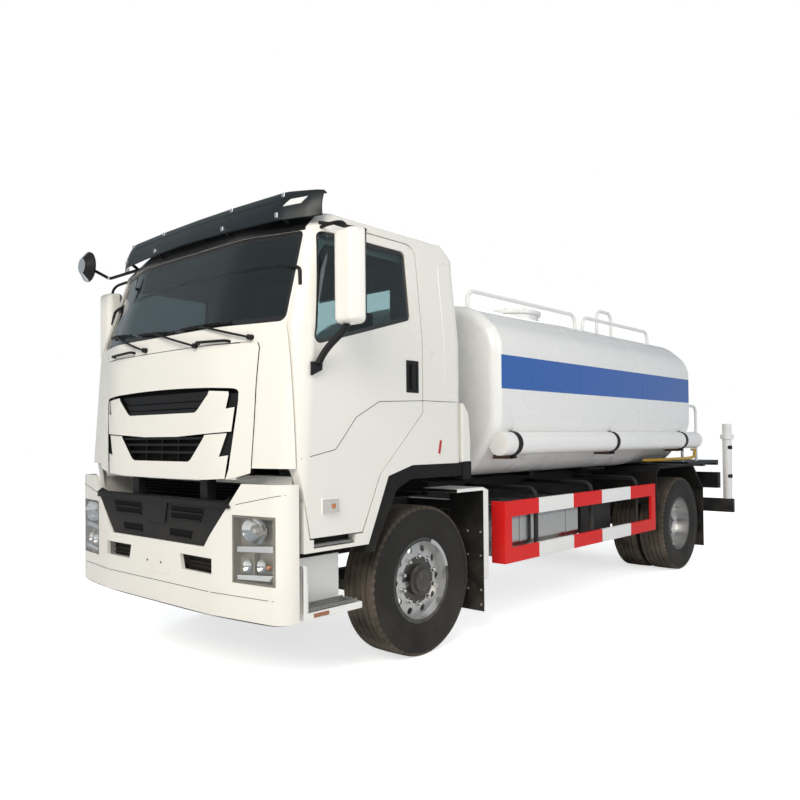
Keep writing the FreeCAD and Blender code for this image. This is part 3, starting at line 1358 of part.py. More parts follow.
def rear_end():
    rear = aft(S.wheelbase + S.rear_overhang)
    bar = box("underrun_bar", (-S.underrun_half_width, S.underrun_half_width), (rear - S.underrun_depth, rear),
              (S.underrun_low_z, S.underrun_top_z))
    arms = []
    for side in (-1, 1):
        x = S.rail_x * side
        arms.append(box(f"underrun_arm_{(side + 1) // 2}", (x - S.spring_width / 2, x + S.spring_width / 2),
                        (aft(S.rail_end_y) - S.underrun_depth, rear - S.underrun_depth),
                        (S.underrun_low_z, S.rail_top_z - S.rail_height)))
    node("underrun_bar", fuse("underrun", bar, *arms))
    y = aft(S.lamp_box_front_y)
    lamp = box("rear_lamp", (S.lamp_box_x - S.lamp_box_width / 2, S.lamp_box_x + S.lamp_box_width / 2),
               (y, y + S.lamp_box_depth), (S.lamp_box_low_z, S.lamp_box_high_z))
    arm = box("rear_lamp_arm", (S.rail_x + S.rail_width / 2 + S.fit, S.lamp_box_x - S.lamp_box_width / 2),
              (y, y + S.lamp_box_depth / 2), (S.lamp_box_low_z, S.lamp_box_high_z))
    node("rear_lamps", both_sides("rear_lamp_pair", fuse("rear_lamp_whole", lamp, arm)))
    stand = rear - S.underrun_depth / 2
    pipe_end = S.spray_pipe_top_z + S.spray_pipe_radius * 2
    riser = rod("spray_riser", "z", (S.spray_pipe_x, stand), S.spray_pipe_radius,
                S.underrun_top_z + S.fit, pipe_end)
    flange = rod("spray_flange", "z", (S.spray_pipe_x, stand), S.spray_flange_radius,
                 S.spray_pipe_top_z - S.spray_flange_width * 3, S.spray_pipe_top_z - S.spray_flange_width)
    node("spray_pipes", both_sides("spray_pair", fuse("spray", riser, flange)))


def pump():
    y = aft(S.pump_y)
    z = S.pipe_z
    casing = rod("pump_casing", "y", (ZERO, z - S.pump_radius * 2), S.pump_radius, y, y + S.pump_width)
    post = box("pump_post", (-S.pump_radius, S.pump_radius), (y, y + S.pump_width),
               (z - S.pump_radius * 2, S.rail_top_z - S.rail_wall - S.cross_member_depth - S.fit))
    node("water_pump", fuse("pump", casing, post))


def cannon():
    y = aft(S.cannon_y)
    floor = S.platform_z + S.platform_thickness
    top = floor + S.cannon_post_height
    joint = top + S.cannon_swivel_height
    swivel = rod("cannon_turntable", "z", (ZERO, y), S.cannon_post_radius, top + S.fit, joint)
    cheek = []
    for side in (-1, 1):
        x = side * (S.cannon_post_radius - S.rim_wall)
        cheek.append(box(f"cannon_cheek_{(side + 1) // 2}", (x - S.rim_wall / 2, x + S.rim_wall / 2),
                         (y - S.cannon_post_radius / 2, y + S.cannon_post_radius / 2),
                         (joint - S.rim_wall, joint + S.cannon_elbow_radius * 2)))
    node("cannon_swivel", fuse("cannon_turn", swivel, *cheek))
    z = joint + S.cannon_elbow_radius
    tip = y + S.cannon_barrel_length
    barrel_shape = turned("cannon_tube", "y", (ZERO, z), [
        (y - S.cannon_barrel_radius, ZERO), (y - S.cannon_barrel_radius, S.cannon_barrel_radius - S.rim_wall),
        (y + S.cannon_post_radius, S.cannon_barrel_radius - S.rim_wall),
        (tip, S.cannon_tip_radius), (tip, ZERO),
    ])
    pin_end = S.cannon_post_radius - S.rim_wall * 3 / 2 - S.fit
    pin = rod("cannon_pin", "x", (y, z), S.cannon_tip_radius, -pin_end, pin_end)
    node("cannon_barrel", fuse("cannon_barrel_whole", barrel_shape, pin))


chassis()
axles()
knuckles()
wheels()
engine()
bumper()
cab()
cab_fittings()
seats_and_dash()
door_mirrors()
steps()
tank()
roof_rails()
hose_tubes()
side_guards()
fuel_tank()
boxes()
rear_wings()
platform()
rear_end()
pump()
cannon()

doc.recompute()
for thing in doc.Objects:
    if "Invalid" in thing.State or "Error" in thing.State:
        raise RuntimeError(f"{thing.Name} failed: {thing.State}")
os.makedirs("parts", exist_ok=True)
for label, solid in NODES.items():
    shape = solid.Shape
    if shape.isNull() or not shape.isValid():
        raise RuntimeError(f"{label} has no valid shape")
    shape.exportStep(f"parts/{label}.step")
    box_now = shape.BoundBox
    print(f"{label:20s} {len(shape.Solids)} {shape.Volume / 1e9:.4f} m3 "
          f"x {box_now.XMin:.0f} {box_now.XMax:.0f} y {box_now.YMin:.0f} {box_now.YMax:.0f} "
          f"z {box_now.ZMin:.0f} {box_now.ZMax:.0f}")
print(len(NODES), "pieces")
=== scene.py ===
# %% [markdown]
# A tanker truck, dressed for a studio picture. The shapes that carry load come from the
# CAD model, which the first cell loads as a fixed frame. Every later cell adds a finish
# or a detailed piece around that frame, and says which moving body it rides on.

# %% Load the frame
import json
import math
import bmesh
import bpy
from mathutils import Matrix, Vector
from mathutils.bvhtree import BVHTree


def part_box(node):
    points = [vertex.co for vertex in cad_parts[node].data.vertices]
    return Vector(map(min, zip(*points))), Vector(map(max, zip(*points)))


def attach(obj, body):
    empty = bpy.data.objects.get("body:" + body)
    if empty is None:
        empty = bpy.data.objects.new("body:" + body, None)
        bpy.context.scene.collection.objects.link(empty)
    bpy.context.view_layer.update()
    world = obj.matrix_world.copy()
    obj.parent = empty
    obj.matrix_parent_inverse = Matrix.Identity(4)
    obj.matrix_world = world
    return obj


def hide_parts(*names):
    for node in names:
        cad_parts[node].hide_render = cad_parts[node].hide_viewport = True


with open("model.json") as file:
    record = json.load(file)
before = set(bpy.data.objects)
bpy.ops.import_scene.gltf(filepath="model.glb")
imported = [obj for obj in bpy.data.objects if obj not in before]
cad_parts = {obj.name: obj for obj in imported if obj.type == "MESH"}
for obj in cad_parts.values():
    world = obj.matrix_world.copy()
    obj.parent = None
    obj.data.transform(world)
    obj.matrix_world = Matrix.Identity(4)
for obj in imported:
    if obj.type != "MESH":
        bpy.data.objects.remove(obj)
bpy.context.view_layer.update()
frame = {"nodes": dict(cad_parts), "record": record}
nodes = frame["nodes"]

# %% [markdown]
# Lengths on a truck are easiest to say from the front axle. The axle's place is read from
# the tyre, and one small function turns "so far behind the front axle" into a place.

# %% Places along the truck
tyre_low, tyre_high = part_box("tyre_front_left")
FRONT_AXLE = (tyre_low.y + tyre_high.y) / 2
TYRE_RADIUS = (tyre_high.z - tyre_low.z) / 2


def aft(distance):
    """A place so many metres behind the front axle."""
    return FRONT_AXLE + distance


print("front axle at", round(FRONT_AXLE, 3), "tyre radius", round(TYRE_RADIUS, 3))

# %% [markdown]
# The camera stands at the height of a person's chest, ahead of the truck's left front
# corner. Its three angles and its place come from fitting the wheels and the cab's edges
# to the photograph, so they are set as numbers and turned into a matrix.

# %% Camera
CAMERA_PLACE = Vector((4.549, -6.491, 1.518))
YAW, PITCH, ROLL = (math.radians(a) for a in (41.877, 1.002, -0.455))
forward = Vector((-math.sin(YAW) * math.cos(PITCH), math.cos(YAW) * math.cos(PITCH), math.sin(PITCH)))
level = Vector((math.cos(YAW), math.sin(YAW), 0))
upright = level.cross(forward)
right = level * math.cos(ROLL) + upright * math.sin(ROLL)
above = upright * math.cos(ROLL) - level * math.sin(ROLL)
lens = bpy.data.cameras.new("camera")
lens.sensor_width = 36
lens.lens = 33.61
lens.shift_y = 0.0313
lens.clip_end = 200
camera = bpy.data.objects.new("camera", lens)
bpy.context.scene.collection.objects.link(camera)
turned = Matrix((right, above, -forward)).transposed().to_4x4()
camera.matrix_world = Matrix.Translation(CAMERA_PLACE) @ turned
bpy.context.scene.camera = camera
print("camera looks along", [round(v, 3) for v in forward])

# %% [markdown]
# Light, floor and paint are all built from shader nodes. One small function makes a node
# and sets each of its inputs, or links it to an output of a node made before.

# %% Shader nodes


def wire(tree, kind, inputs=None, **settings):
    """A new node with its settings made and its inputs set or linked."""
    made = tree.nodes.new(kind)
    for key, value in settings.items():
        setattr(made, key, value)
    for key, value in (inputs or {}).items():
        if isinstance(value, bpy.types.NodeSocket):
            tree.links.new(value, made.inputs[key])
        else:
            made.inputs[key].default_value = value
    return made


print("node helper ready")

# %% [markdown]
# Studio light for white paint has to be even, or the panels lose their edges. A pale world
# gives the fill, and three large lamps give each side its own tone. Camera rays see plain
# white, so the background stays clean without more light on the truck.

# %% World and lamps
FILL = 0.42
scene = bpy.context.scene
scene.view_settings.view_transform = "Standard"
world = bpy.data.worlds.new("studio")
scene.world = world
world.use_nodes = True
sky = world.node_tree
sky.nodes.clear()
to_camera = wire(sky, "ShaderNodeLightPath").outputs["Is Camera Ray"]
fill = wire(sky, "ShaderNodeBackground", {"Color": (0.86, 0.93, 1.0, 1), "Strength": FILL})
backdrop = wire(sky, "ShaderNodeBackground", {"Color": (1, 1, 1, 1), "Strength": 1.0})
chooser = wire(sky, "ShaderNodeMixShader", {0: to_camera, 1: fill.outputs[0], 2: backdrop.outputs[0]})
wire(sky, "ShaderNodeOutputWorld", {"Surface": chooser.outputs[0]})


def area_lamp(name, place, target, width, height, power, color):
    """A large rectangular lamp that faces a target."""
    data = bpy.data.lights.new(name, "AREA")
    data.shape = "RECTANGLE"
    data.size = width
    data.size_y = height
    data.energy = power
    data.color = color
    lamp = bpy.data.objects.new(name, data)
    lamp.location = place
    lamp.rotation_euler = (Vector(target) - Vector(place)).to_track_quat("-Z", "Y").to_euler()
    scene.collection.objects.link(lamp)


area_lamp("key", (4.5, -11.0, 7.5), (0, -1.5, 1.4), 7, 5, 900, (1.0, 0.94, 0.83))
area_lamp("side", (12.0, 1.0, 6.0), (0, 0.5, 1.2), 10, 5, 330, (0.98, 0.985, 1.0))
area_lamp("back", (-9.0, 9.0, 7.0), (0, 0, 1.5), 9, 5, 420, (1.0, 0.98, 0.95))
print("3 lamps and a pale world")

# %% [markdown]
# The floor is a wide pale disc.
# It gets a little glow for camera rays alone, so that open floor is as white as the
# background while the truck's shadow still shows on it.

# %% Floor
FLOOR_RADIUS = 60
FLOOR_LIFT = 0.68
floor_mesh = bpy.data.meshes.new("floor")
bm = bmesh.new()
bmesh.ops.create_circle(bm, cap_ends=True, segments=64, radius=FLOOR_RADIUS)
bm.to_mesh(floor_mesh)
bm.free()
floor = bpy.data.objects.new("floor", floor_mesh)
scene.collection.objects.link(floor)
floor_paint = bpy.data.materials.new("studio_floor")
floor_paint.use_nodes = True
floor_tree = floor_paint.node_tree
floor_shader = floor_tree.nodes["Principled BSDF"]
for key, value in {"Base Color": (0.9, 0.9, 0.9, 1), "Roughness": 0.9, "Specular IOR Level": 0.0,
                   "Emission Color": (1, 1, 1, 1)}.items():
    floor_shader.inputs[key].default_value = value
seen = wire(floor_tree, "ShaderNodeLightPath").outputs["Is Camera Ray"]
lifted = wire(floor_tree, "ShaderNodeMath", {0: seen, 1: FLOOR_LIFT}, operation="MULTIPLY")
floor_tree.links.new(lifted.outputs[0], floor_shader.inputs["Emission Strength"])
floor_mesh.materials.append(floor_paint)
print("floor is", FLOOR_RADIUS * 2, "m across")

# %% [markdown]
# Paint, plastic and rubber share one kind of unevenness: broad mottling, fine grain, and a
# film of road dust that thickens towards the ground. One node group makes all three from
# the object's own coordinates, and puts out a colour, a roughness and a height.

# %% The shared surface group
NOISE_DETAIL = 3
GROUND = 0.1
SPECKLE_LOW, SPECKLE_HIGH = 0.3, 0.7
DUST_ROUGHENS, MOTTLE_ROUGHENS = 0.4, 0.12


def group_socket(tree, name, kind, into, value=None):
    """An input or output of a node group, with its first value."""
    socket = tree.interface.new_socket(name=name, in_out="INPUT" if into else "OUTPUT", socket_type=kind)
    if value is not None:
        socket.default_value = value


surface = bpy.data.node_groups.new("uneven_surface", "ShaderNodeTree")
for socket_name, kind, value in (
        ("Color", "NodeSocketColor", (0.8, 0.8, 0.8, 1)), ("Roughness", "NodeSocketFloat", 0.4),
        ("Mottle", "NodeSocketFloat", 0.05), ("Mottle Scale", "NodeSocketFloat", 2.0),
        ("Grain Scale", "NodeSocketFloat", 300.0), ("Dust", "NodeSocketFloat", 0.2),
        ("Dust Top", "NodeSocketFloat", 1.2), ("Dust Color", "NodeSocketColor", (0.42, 0.36, 0.28, 1))):
    group_socket(surface, socket_name, kind, True, value)
for socket_name, kind in (("Color", "NodeSocketColor"), ("Roughness", "NodeSocketFloat"),
                          ("Height", "NodeSocketFloat")):
    group_socket(surface, socket_name, kind, False)
given = surface.nodes.new("NodeGroupInput").outputs
place = surface.nodes.new("ShaderNodeTexCoord").outputs["Object"]
broad = wire(surface, "ShaderNodeTexNoise", {"Vector": place, "Scale": given["Mottle Scale"],
                                             "Detail": NOISE_DETAIL})
fine = wire(surface, "ShaderNodeTexNoise", {"Vector": place, "Scale": given["Grain Scale"],
                                            "Detail": NOISE_DETAIL})
signed = wire(surface, "ShaderNodeMath", {0: broad.outputs["Fac"], 1: 0.5}, operation="SUBTRACT")
change = wire(surface, "ShaderNodeMath", {0: signed.outputs[0], 1: given["Mottle"]}, operation="MULTIPLY")
bright = wire(surface, "ShaderNodeMath", {0: change.outputs[0], 1: 1.0}, operation="ADD")
toned = wire(surface, "ShaderNodeVectorMath", {0: given["Color"]}, operation="SCALE")
surface.links.new(bright.outputs[0], toned.inputs["Scale"])
height = wire(surface, "ShaderNodeSeparateXYZ", {0: place}).outputs["Z"]
depth = wire(surface, "ShaderNodeMapRange", {"Value": height, "From Min": given["Dust Top"],
                                             "From Max": GROUND})
speckle = wire(surface, "ShaderNodeMapRange", {"Value": broad.outputs["Fac"], "From Min": SPECKLE_LOW,
                                               "From Max": SPECKLE_HIGH})
film = wire(surface, "ShaderNodeMath", {0: depth.outputs[0], 1: speckle.outputs[0]}, operation="MULTIPLY")
mask = wire(surface, "ShaderNodeMath", {0: film.outputs[0], 1: given["Dust"]}, operation="MULTIPLY")
dusty = wire(surface, "ShaderNodeMix", {0: mask.outputs[0], 6: toned.outputs[0], 7: given["Dust Color"]},
             data_type="RGBA")
rougher = wire(surface, "ShaderNodeMath", {0: mask.outputs[0], 1: DUST_ROUGHENS, 2: given["Roughness"]},
               operation="MULTIPLY_ADD")
uneven = wire(surface, "ShaderNodeMath", {0: signed.outputs[0], 1: MOTTLE_ROUGHENS, 2: rougher.outputs[0]},
              operation="MULTIPLY_ADD")
ending = surface.nodes.new("NodeGroupOutput").inputs
surface.links.new(dusty.outputs[2], ending["Color"])
surface.links.new(uneven.outputs[0], ending["Roughness"])
surface.links.new(fine.outputs["Fac"], ending["Height"])
print("surface group has", len(surface.nodes), "nodes")

# %% [markdown]
# Each finish is a Principled BSDF with that group in front of it. What is the same all over,
# such as metallic or coat, is set on the shader itself, so that the export keeps it.

# %% Finishes
GRAIN_DEPTH = 0.0004


def finish(name, color, roughness=0.4, metallic=0.0, coat=0.0, mottle=0.05, mottle_scale=2.0, grain=300.0,
           bump=0.1, dust=0.15, dust_top=1.2, pattern=None, **extra):
    """A material whose colour, roughness and bump vary a little over the surface."""
    made = bpy.data.materials.new(name)
    made.use_nodes = True
    tree = made.node_tree
    shader = tree.nodes["Principled BSDF"]
    shader.inputs["Metallic"].default_value = metallic
    shader.inputs["Coat Weight"].default_value = coat
    for key, value in extra.items():
        shader.inputs[key.replace("_", " ").title().replace("Ior", "IOR")].default_value = value
    layer = wire(tree, "ShaderNodeGroup", node_tree=surface)
    settings = {"Color": (*color, 1), "Roughness": roughness, "Mottle": mottle, "Mottle Scale": mottle_scale,
                "Grain Scale": grain, "Dust": dust, "Dust Top": dust_top}
    for key, value in settings.items():
        layer.inputs[key].default_value = value
    if pattern:
        tree.links.new(pattern(tree), layer.inputs["Color"])
    relief = wire(tree, "ShaderNodeBump", {"Height": layer.outputs["Height"], "Strength": bump,
                                           "Distance": GRAIN_DEPTH})
    tree.links.new(layer.outputs["Color"], shader.inputs["Base Color"])
    tree.links.new(layer.outputs["Roughness"], shader.inputs["Roughness"])
    tree.links.new(relief.outputs["Normal"], shader.inputs["Normal"])
    return made


def two_tone(tree, share, base, color):
    """Two colours mixed by a mask; the base may be the outcome of an earlier mix."""
    return wire(tree, "ShaderNodeMix", {0: share, 6: base, 7: (*color, 1)}, data_type="RGBA").outputs[2]


def place_along(tree):
    """The object's own X, Y and Z as sockets."""
    spot = wire(tree, "ShaderNodeTexCoord").outputs["Object"]
    return wire(tree, "ShaderNodeSeparateXYZ", {0: spot}).outputs


def bands(axis, edges, colors):
    """A pattern that changes colour at each edge along one axis of the object."""
    def build(tree):
        along = place_along(tree)[axis]
        result = (*colors[0], 1)
        for edge, color in zip(edges, colors[1:]):
            past = wire(tree, "ShaderNodeMath", {0: along, 1: edge}, operation="GREATER_THAN")
            result = two_tone(tree, past.outputs[0], result, color)
        return result
    return build


def stripe(low, high, front, rear, base, color):
    """A band of colour between two heights, ending at two places along the truck."""
    def build(tree):
        along = place_along(tree)
        share = None
        for axis, edge, test in (("Z", low, "GREATER_THAN"), ("Z", high, "LESS_THAN"),
                                 ("Y", front, "GREATER_THAN"), ("Y", rear, "LESS_THAN")):
            past = wire(tree, "ShaderNodeMath", {0: along[axis], 1: edge}, operation=test).outputs[0]
            share = past if share is None else wire(tree, "ShaderNodeMath", {0: share, 1: past},
                                                    operation="MULTIPLY").outputs[0]
        return two_tone(tree, share, (*base, 1), color)
    return build


WHITE = (0.84, 0.82, 0.77)
TANK_WHITE = (0.88, 0.875, 0.86)
BLUE = (0.012, 0.105, 0.42)
RED = (0.76, 0.006, 0.006)
guard_edges = [aft(y) for y in (1.42, 2.005, 2.55, 3.168)]
cab_paint = finish("cab_paint", WHITE, 0.3, coat=0.6, mottle=0.03, bump=0.006, dust=0.22, dust_top=1.3)
tank_paint = finish("tank_paint", TANK_WHITE, 0.28, coat=0.7, mottle=0.015, bump=0.004, dust=0.0,
                    pattern=stripe(1.905, 2.175, aft(0.912), aft(4.797), TANK_WHITE, BLUE))
plain_white = finish("plain_white", TANK_WHITE, 0.35, coat=0.4, mottle=0.05, bump=0.01, dust=0.1)
guard_paint = finish("guard_paint", RED, 0.5, coat=0.1, mottle=0.06, dust=0.12, specular_ior_level=0.25,
                     pattern=bands("Y", guard_edges, (RED, TANK_WHITE, RED, TANK_WHITE, RED)))
visor_plastic = finish("visor_plastic", (0.008, 0.013, 0.016), 0.36, mottle=0.1, dust=0.0,
                       specular_ior_level=0.3)
trim_plastic = finish("trim_plastic", (0.009, 0.009, 0.010), 0.5, mottle=0.2, mottle_scale=6, grain=900,
                      bump=0.3, specular_ior_level=0.25)
frame_paint = finish("frame_paint", (0.012, 0.013, 0.014), 0.45, mottle=0.3, mottle_scale=5, dust=0.2,
                     specular_ior_level=0.3)
liner_rubber = finish("liner_rubber", (0.009, 0.009, 0.009), 0.62, mottle=0.3, mottle_scale=8, dust=0.15,
                      specular_ior_level=0.2)
tyre_rubber = finish("tyre_rubber", (0.016, 0.015, 0.014), 0.62, mottle=0.15, mottle_scale=3, grain=500,
                     bump=0.2, dust=0.08, dust_top=1.1, specular_ior_level=0.25)
rim_steel = finish("rim_steel", (0.60, 0.60, 0.60), 0.33, metallic=0.85, mottle=0.15, mottle_scale=9,
                   dust=0.15)
chrome = finish("chrome", (0.72, 0.73, 0.74), 0.1, metallic=1.0, mottle=0.05, dust=0.05)
tread_rubber = finish("tread_rubber", (0.050, 0.038, 0.028), 0.85, mottle=0.25, mottle_scale=5, grain=400,
                      bump=0.4, dust=0.3, dust_top=1.3)
nut_steel = finish("nut_steel", (0.66, 0.66, 0.66), 0.22, metallic=0.9, mottle=0.1, mottle_scale=20, dust=0.1)
hub_black = finish("hub_black", (0.018, 0.018, 0.018), 0.35, coat=0.2, mottle=0.2, mottle_scale=12, dust=0.2)
lamp_grey = finish("lamp_grey", (0.42, 0.39, 0.33), 0.25, metallic=0.3, coat=0.5, mottle=0.1, dust=0.0)
# A flat black for dark parts, also used as painted shade: on the lid's groove walls, the seam and cladding
# lines, the bumper slots and the door handle's dish.
black_and_painted_shade = finish("black_and_painted_shade", (0.006, 0.006, 0.006), 0.7, mottle=0.1, dust=0.0, specular_ior_level=0.1)
glass_rubber = finish("glass_rubber", (0.010, 0.010, 0.011), 0.3, coat=0.3, mottle=0.1, dust=0.0)
mirror_silver = finish("mirror_silver", (0.82, 0.84, 0.85), 0.04, metallic=1.0, mottle=0.02, dust=0.0)
reflector_amber = finish("reflector_amber", (0.30, 0.075, 0.015), 0.25, coat=0.8, mottle=0.1, dust=0.2)
tread_metal = finish("tread_metal", (0.45, 0.45, 0.44), 0.4, metallic=0.9, mottle=0.3, mottle_scale=20,
                     dust=0.3)
polished = finish("polished_alloy", (0.55, 0.55, 0.54), 0.24, metallic=1.0, mottle=0.15, mottle_scale=4,
                  dust=0.25)
cast_iron = finish("cast_iron", (0.06, 0.06, 0.062), 0.6, metallic=0.4, mottle=0.4, mottle_scale=8, dust=0.3)
yellow_paint = finish("yellow_paint", (0.62, 0.36, 0.02), 0.4, coat=0.2, mottle=0.1)
brown_paint = finish("brown_paint", (0.11, 0.055, 0.04), 0.5, mottle=0.2)
seat_cloth = finish("seat_cloth", (0.06, 0.07, 0.08), 0.9, mottle=0.3, mottle_scale=30, grain=700, bump=0.6,
                    dust=0)
cab_grey = finish("cab_grey", (0.12, 0.125, 0.13), 0.6, mottle=0.1, grain=800, bump=0.3, dust=0)
amber = finish("amber_lens", (0.80, 0.22, 0.01), 0.15, coat=1.0, dust=0.1)
red_lens = finish("red_lens", (0.50, 0.01, 0.01), 0.15, coat=1.0, dust=0.1)
clear_lens = finish("clear_lens", (0.75, 0.76, 0.76), 0.1, coat=1.0, dust=0.0)
print("finishes:", len(bpy.data.materials))

# %% [markdown]
# Glass is the exception: a thin pane has to let the eye through, so it keeps plain values
# on the shader and only its gloss is broken up a little.

# %% Glass
SMEAR_SCALE = 3.0


def glass(name, color, roughness=0.02):
    """A clear pane whose gloss is broken up a little."""
    made = bpy.data.materials.new(name)
    made.use_nodes = True
    tree = made.node_tree
    shader = tree.nodes["Principled BSDF"]
    shader.inputs["Base Color"].default_value = (*color, 1)
    shader.inputs["Transmission Weight"].default_value = 1.0
    shader.inputs["IOR"].default_value = 1.45
    spot = wire(tree, "ShaderNodeTexCoord").outputs["Object"]
    smear = wire(tree, "ShaderNodeTexNoise", {"Scale": SMEAR_SCALE, "Vector": spot})
    gloss = wire(tree, "ShaderNodeMapRange", {"Value": smear.outputs["Fac"], "To Min": roughness,
                                              "To Max": roughness * 2})
    tree.links.new(gloss.outputs[0], shader.inputs["Roughness"])
    return made


cab_window = glass("cab_window", (0.30, 0.38, 0.39))
lamp_glass = glass("lamp_glass", (0.97, 0.98, 0.98))
print("2 kinds of glass")

# %% [markdown]
# Helpers for shaping. Each returns a bmesh of its own, and `piece` joins several of them,
# every one with its finish, into a single object that rides on a body. The sharp edges are
# marked by angle, and weighted normals keep flat panels flat beside rounded edges.

# %% Shaping helpers
SMOOTH_ANGLE = math.radians(38)
WELD = 0.00002


def rounded(bm, edges, width, segments):
    """Rounds edges off in place."""
    bmesh.ops.bevel(bm, geom=list(edges), offset=width, offset_type="OFFSET", affect="EDGES",
                    segments=segments, profile=0.5, material=-1)


def block(low, high, round_off=0.0, segments=2):
    """A cuboid between two corners with rounded edges."""
    bm = bmesh.new()
    bmesh.ops.create_cube(bm, size=1.0)
    low, high = Vector(low), Vector(high)
    bmesh.ops.scale(bm, vec=high - low, verts=bm.verts)
    bmesh.ops.translate(bm, vec=(low + high) / 2, verts=bm.verts)
    if round_off:
        rounded(bm, bm.edges, round_off, segments)
    return bm


def push_out(bm, faces, vec):
    """Extrudes faces along a vector and turns the outside outwards."""
    moved = bmesh.ops.extrude_face_region(bm, geom=faces)["geom"]
    bmesh.ops.translate(bm, vec=Vector(vec), verts=[v for v in moved if isinstance(v, bmesh.types.BMVert)])
    bmesh.ops.recalc_face_normals(bm, faces=bm.faces)


def slice_at(bm, spot, normal, **clear):
    """Cuts a shape with a plane, and clears one side of it where asked."""
    bmesh.ops.bisect_plane(bm, geom=bm.verts[:] + bm.edges[:] + bm.faces[:], plane_co=spot, plane_no=normal,
                           **clear)


def slab(corners, push, round_off=0.0, segments=2):
    """A flat outline of corners pushed along a direction."""
    bm = bmesh.new()
    push_out(bm, [bm.faces.new([bm.verts.new(c) for c in corners])], push)
    if round_off:
        rounded(bm, bm.edges, round_off, segments)
    return bm


AXES = {"X": (Vector((1, 0, 0)), Vector((0, 0, 1))), "Y": (Vector((0, 1, 0)), Vector((0, 0, 1))),
        "Z": (Vector((0, 0, 1)), Vector((1, 0, 0)))}


def lathe(profile, centre, axis="X", steps=48):
    """A profile of (place along the axis, radius) spun round an axis through the centre."""
    along, outward = AXES[axis]
    centre = Vector(centre)
    bm = bmesh.new()
    dots = [bm.verts.new(centre + along * a + outward * r) for a, r in profile]
    lines = [bm.edges.new(pair) for pair in zip(dots, dots[1:])]
    bmesh.ops.spin(bm, geom=dots + lines, cent=centre, axis=along, dvec=(0, 0, 0), angle=math.tau,
                   steps=steps, use_merge=True, use_duplicate=False)
    bmesh.ops.remove_doubles(bm, verts=bm.verts, dist=WELD)
    bmesh.ops.recalc_face_normals(bm, faces=bm.faces)
    return bm


def rod(centre, radius, length, axis="Y", steps=16, round_off=0.002):
    """A short round bar with softened ends, centred on a point."""
    half = length / 2
    return lathe([(-half, 0), (-half, radius - round_off), (-half + round_off, radius),
                  (half - round_off, radius), (half, radius - round_off), (half, 0)], centre, axis, steps)


def bar(points, radius, smooth=True, sides=3):
    """A bent round bar along a line through the points."""
    curve = bpy.data.curves.new("line", "CURVE")
    curve.dimensions = "3D"
    curve.bevel_depth = radius
    curve.bevel_resolution = sides
    curve.use_fill_caps = True
    curve.resolution_u = 8
    line = curve.splines.new("NURBS" if smooth else "POLY")
    line.points.add(len(points) - 1)
    for dot, spot in zip(line.points, points):
        dot.co = (*spot, 1)
    if smooth:
        line.order_u = 3
        line.use_endpoint_u = True
    holder = bpy.data.objects.new("line", curve)
    mesh = bpy.data.meshes.new_from_object(holder)
    bm = bmesh.new()
    bm.from_mesh(mesh)
    bmesh.ops.remove_doubles(bm, verts=bm.verts, dist=WELD)
    bpy.data.objects.remove(holder)
    bpy.data.curves.remove(curve)
    bpy.data.meshes.remove(mesh)
    return bm


def other_side(bm):
    """The same shape on the truck's right."""
    copy = bm.copy()
    bmesh.ops.scale(copy, vec=(-1, 1, 1), verts=copy.verts)
    bmesh.ops.reverse_faces(copy, faces=copy.faces)
    return copy


def both(shapes):
    """Each (shape, finish) pair, and the same on the truck's right."""
    return shapes + [(other_side(shape), paint) for shape, paint in shapes]


def for_side(side, shapes):
    """Copies of (shape, finish) pairs drawn on the left, for one side."""
    return [(shape.copy() if side == "left" else other_side(shape), paint) for shape, paint in shapes]


def cad_copy(name, flat=0.6):
    """A welded copy of a CAD node, its coplanar triangles joined."""
    bm = bmesh.new()
    bm.from_mesh(nodes[name].data)
    bmesh.ops.remove_doubles(bm, verts=bm.verts, dist=WELD)
    bmesh.ops.dissolve_limit(bm, angle_limit=math.radians(flat), verts=bm.verts, edges=bm.edges)
    return bm


def piece(name, shapes, body, replaces=(), bevel=0.0):
    """Joins (shape, finish) pairs into one object on a body; a finish may be chosen by face."""
    whole = bmesh.new()
    mesh = bpy.data.meshes.new(name)
    for shape, paint in shapes:
        shape.faces.index_update()
        for face in shape.faces:
            coat = paint(face) if callable(paint) else paint
            if coat.name not in mesh.materials:
                mesh.materials.append(coat)
            face.material_index = mesh.materials.find(coat.name)
        part = bpy.data.meshes.new("part")
        shape.to_mesh(part)
        whole.from_mesh(part)
        bpy.data.meshes.remove(part)
    for face in whole.faces:
        face.smooth = True
    for edge in whole.edges:
        edge.smooth = len(edge.link_faces) == 2 and edge.calc_face_angle(math.pi) < SMOOTH_ANGLE
    whole.to_mesh(mesh)
    whole.free()
    made = bpy.data.objects.new(name, mesh)
    scene.collection.objects.link(made)
    if bevel:
        softening = made.modifiers.new("edges", "BEVEL")
        softening.width = bevel
        softening.segments = 2
        softening.limit_method = "ANGLE"
        softening.angle_limit = SMOOTH_ANGLE
        softening.harden_normals = True
    evening = made.modifiers.new("normals", "WEIGHTED_NORMAL")
    evening.keep_sharp = not bevel
    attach(made, body)
    if replaces:
        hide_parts(*replaces)
    return made


def joined(shapes):
    """Several shapes in one bmesh."""
    whole = bmesh.new()
    for shape in shapes:
        part = bpy.data.meshes.new("part")
        shape.to_mesh(part)
        whole.from_mesh(part)
        bpy.data.meshes.remove(part)
    return whole


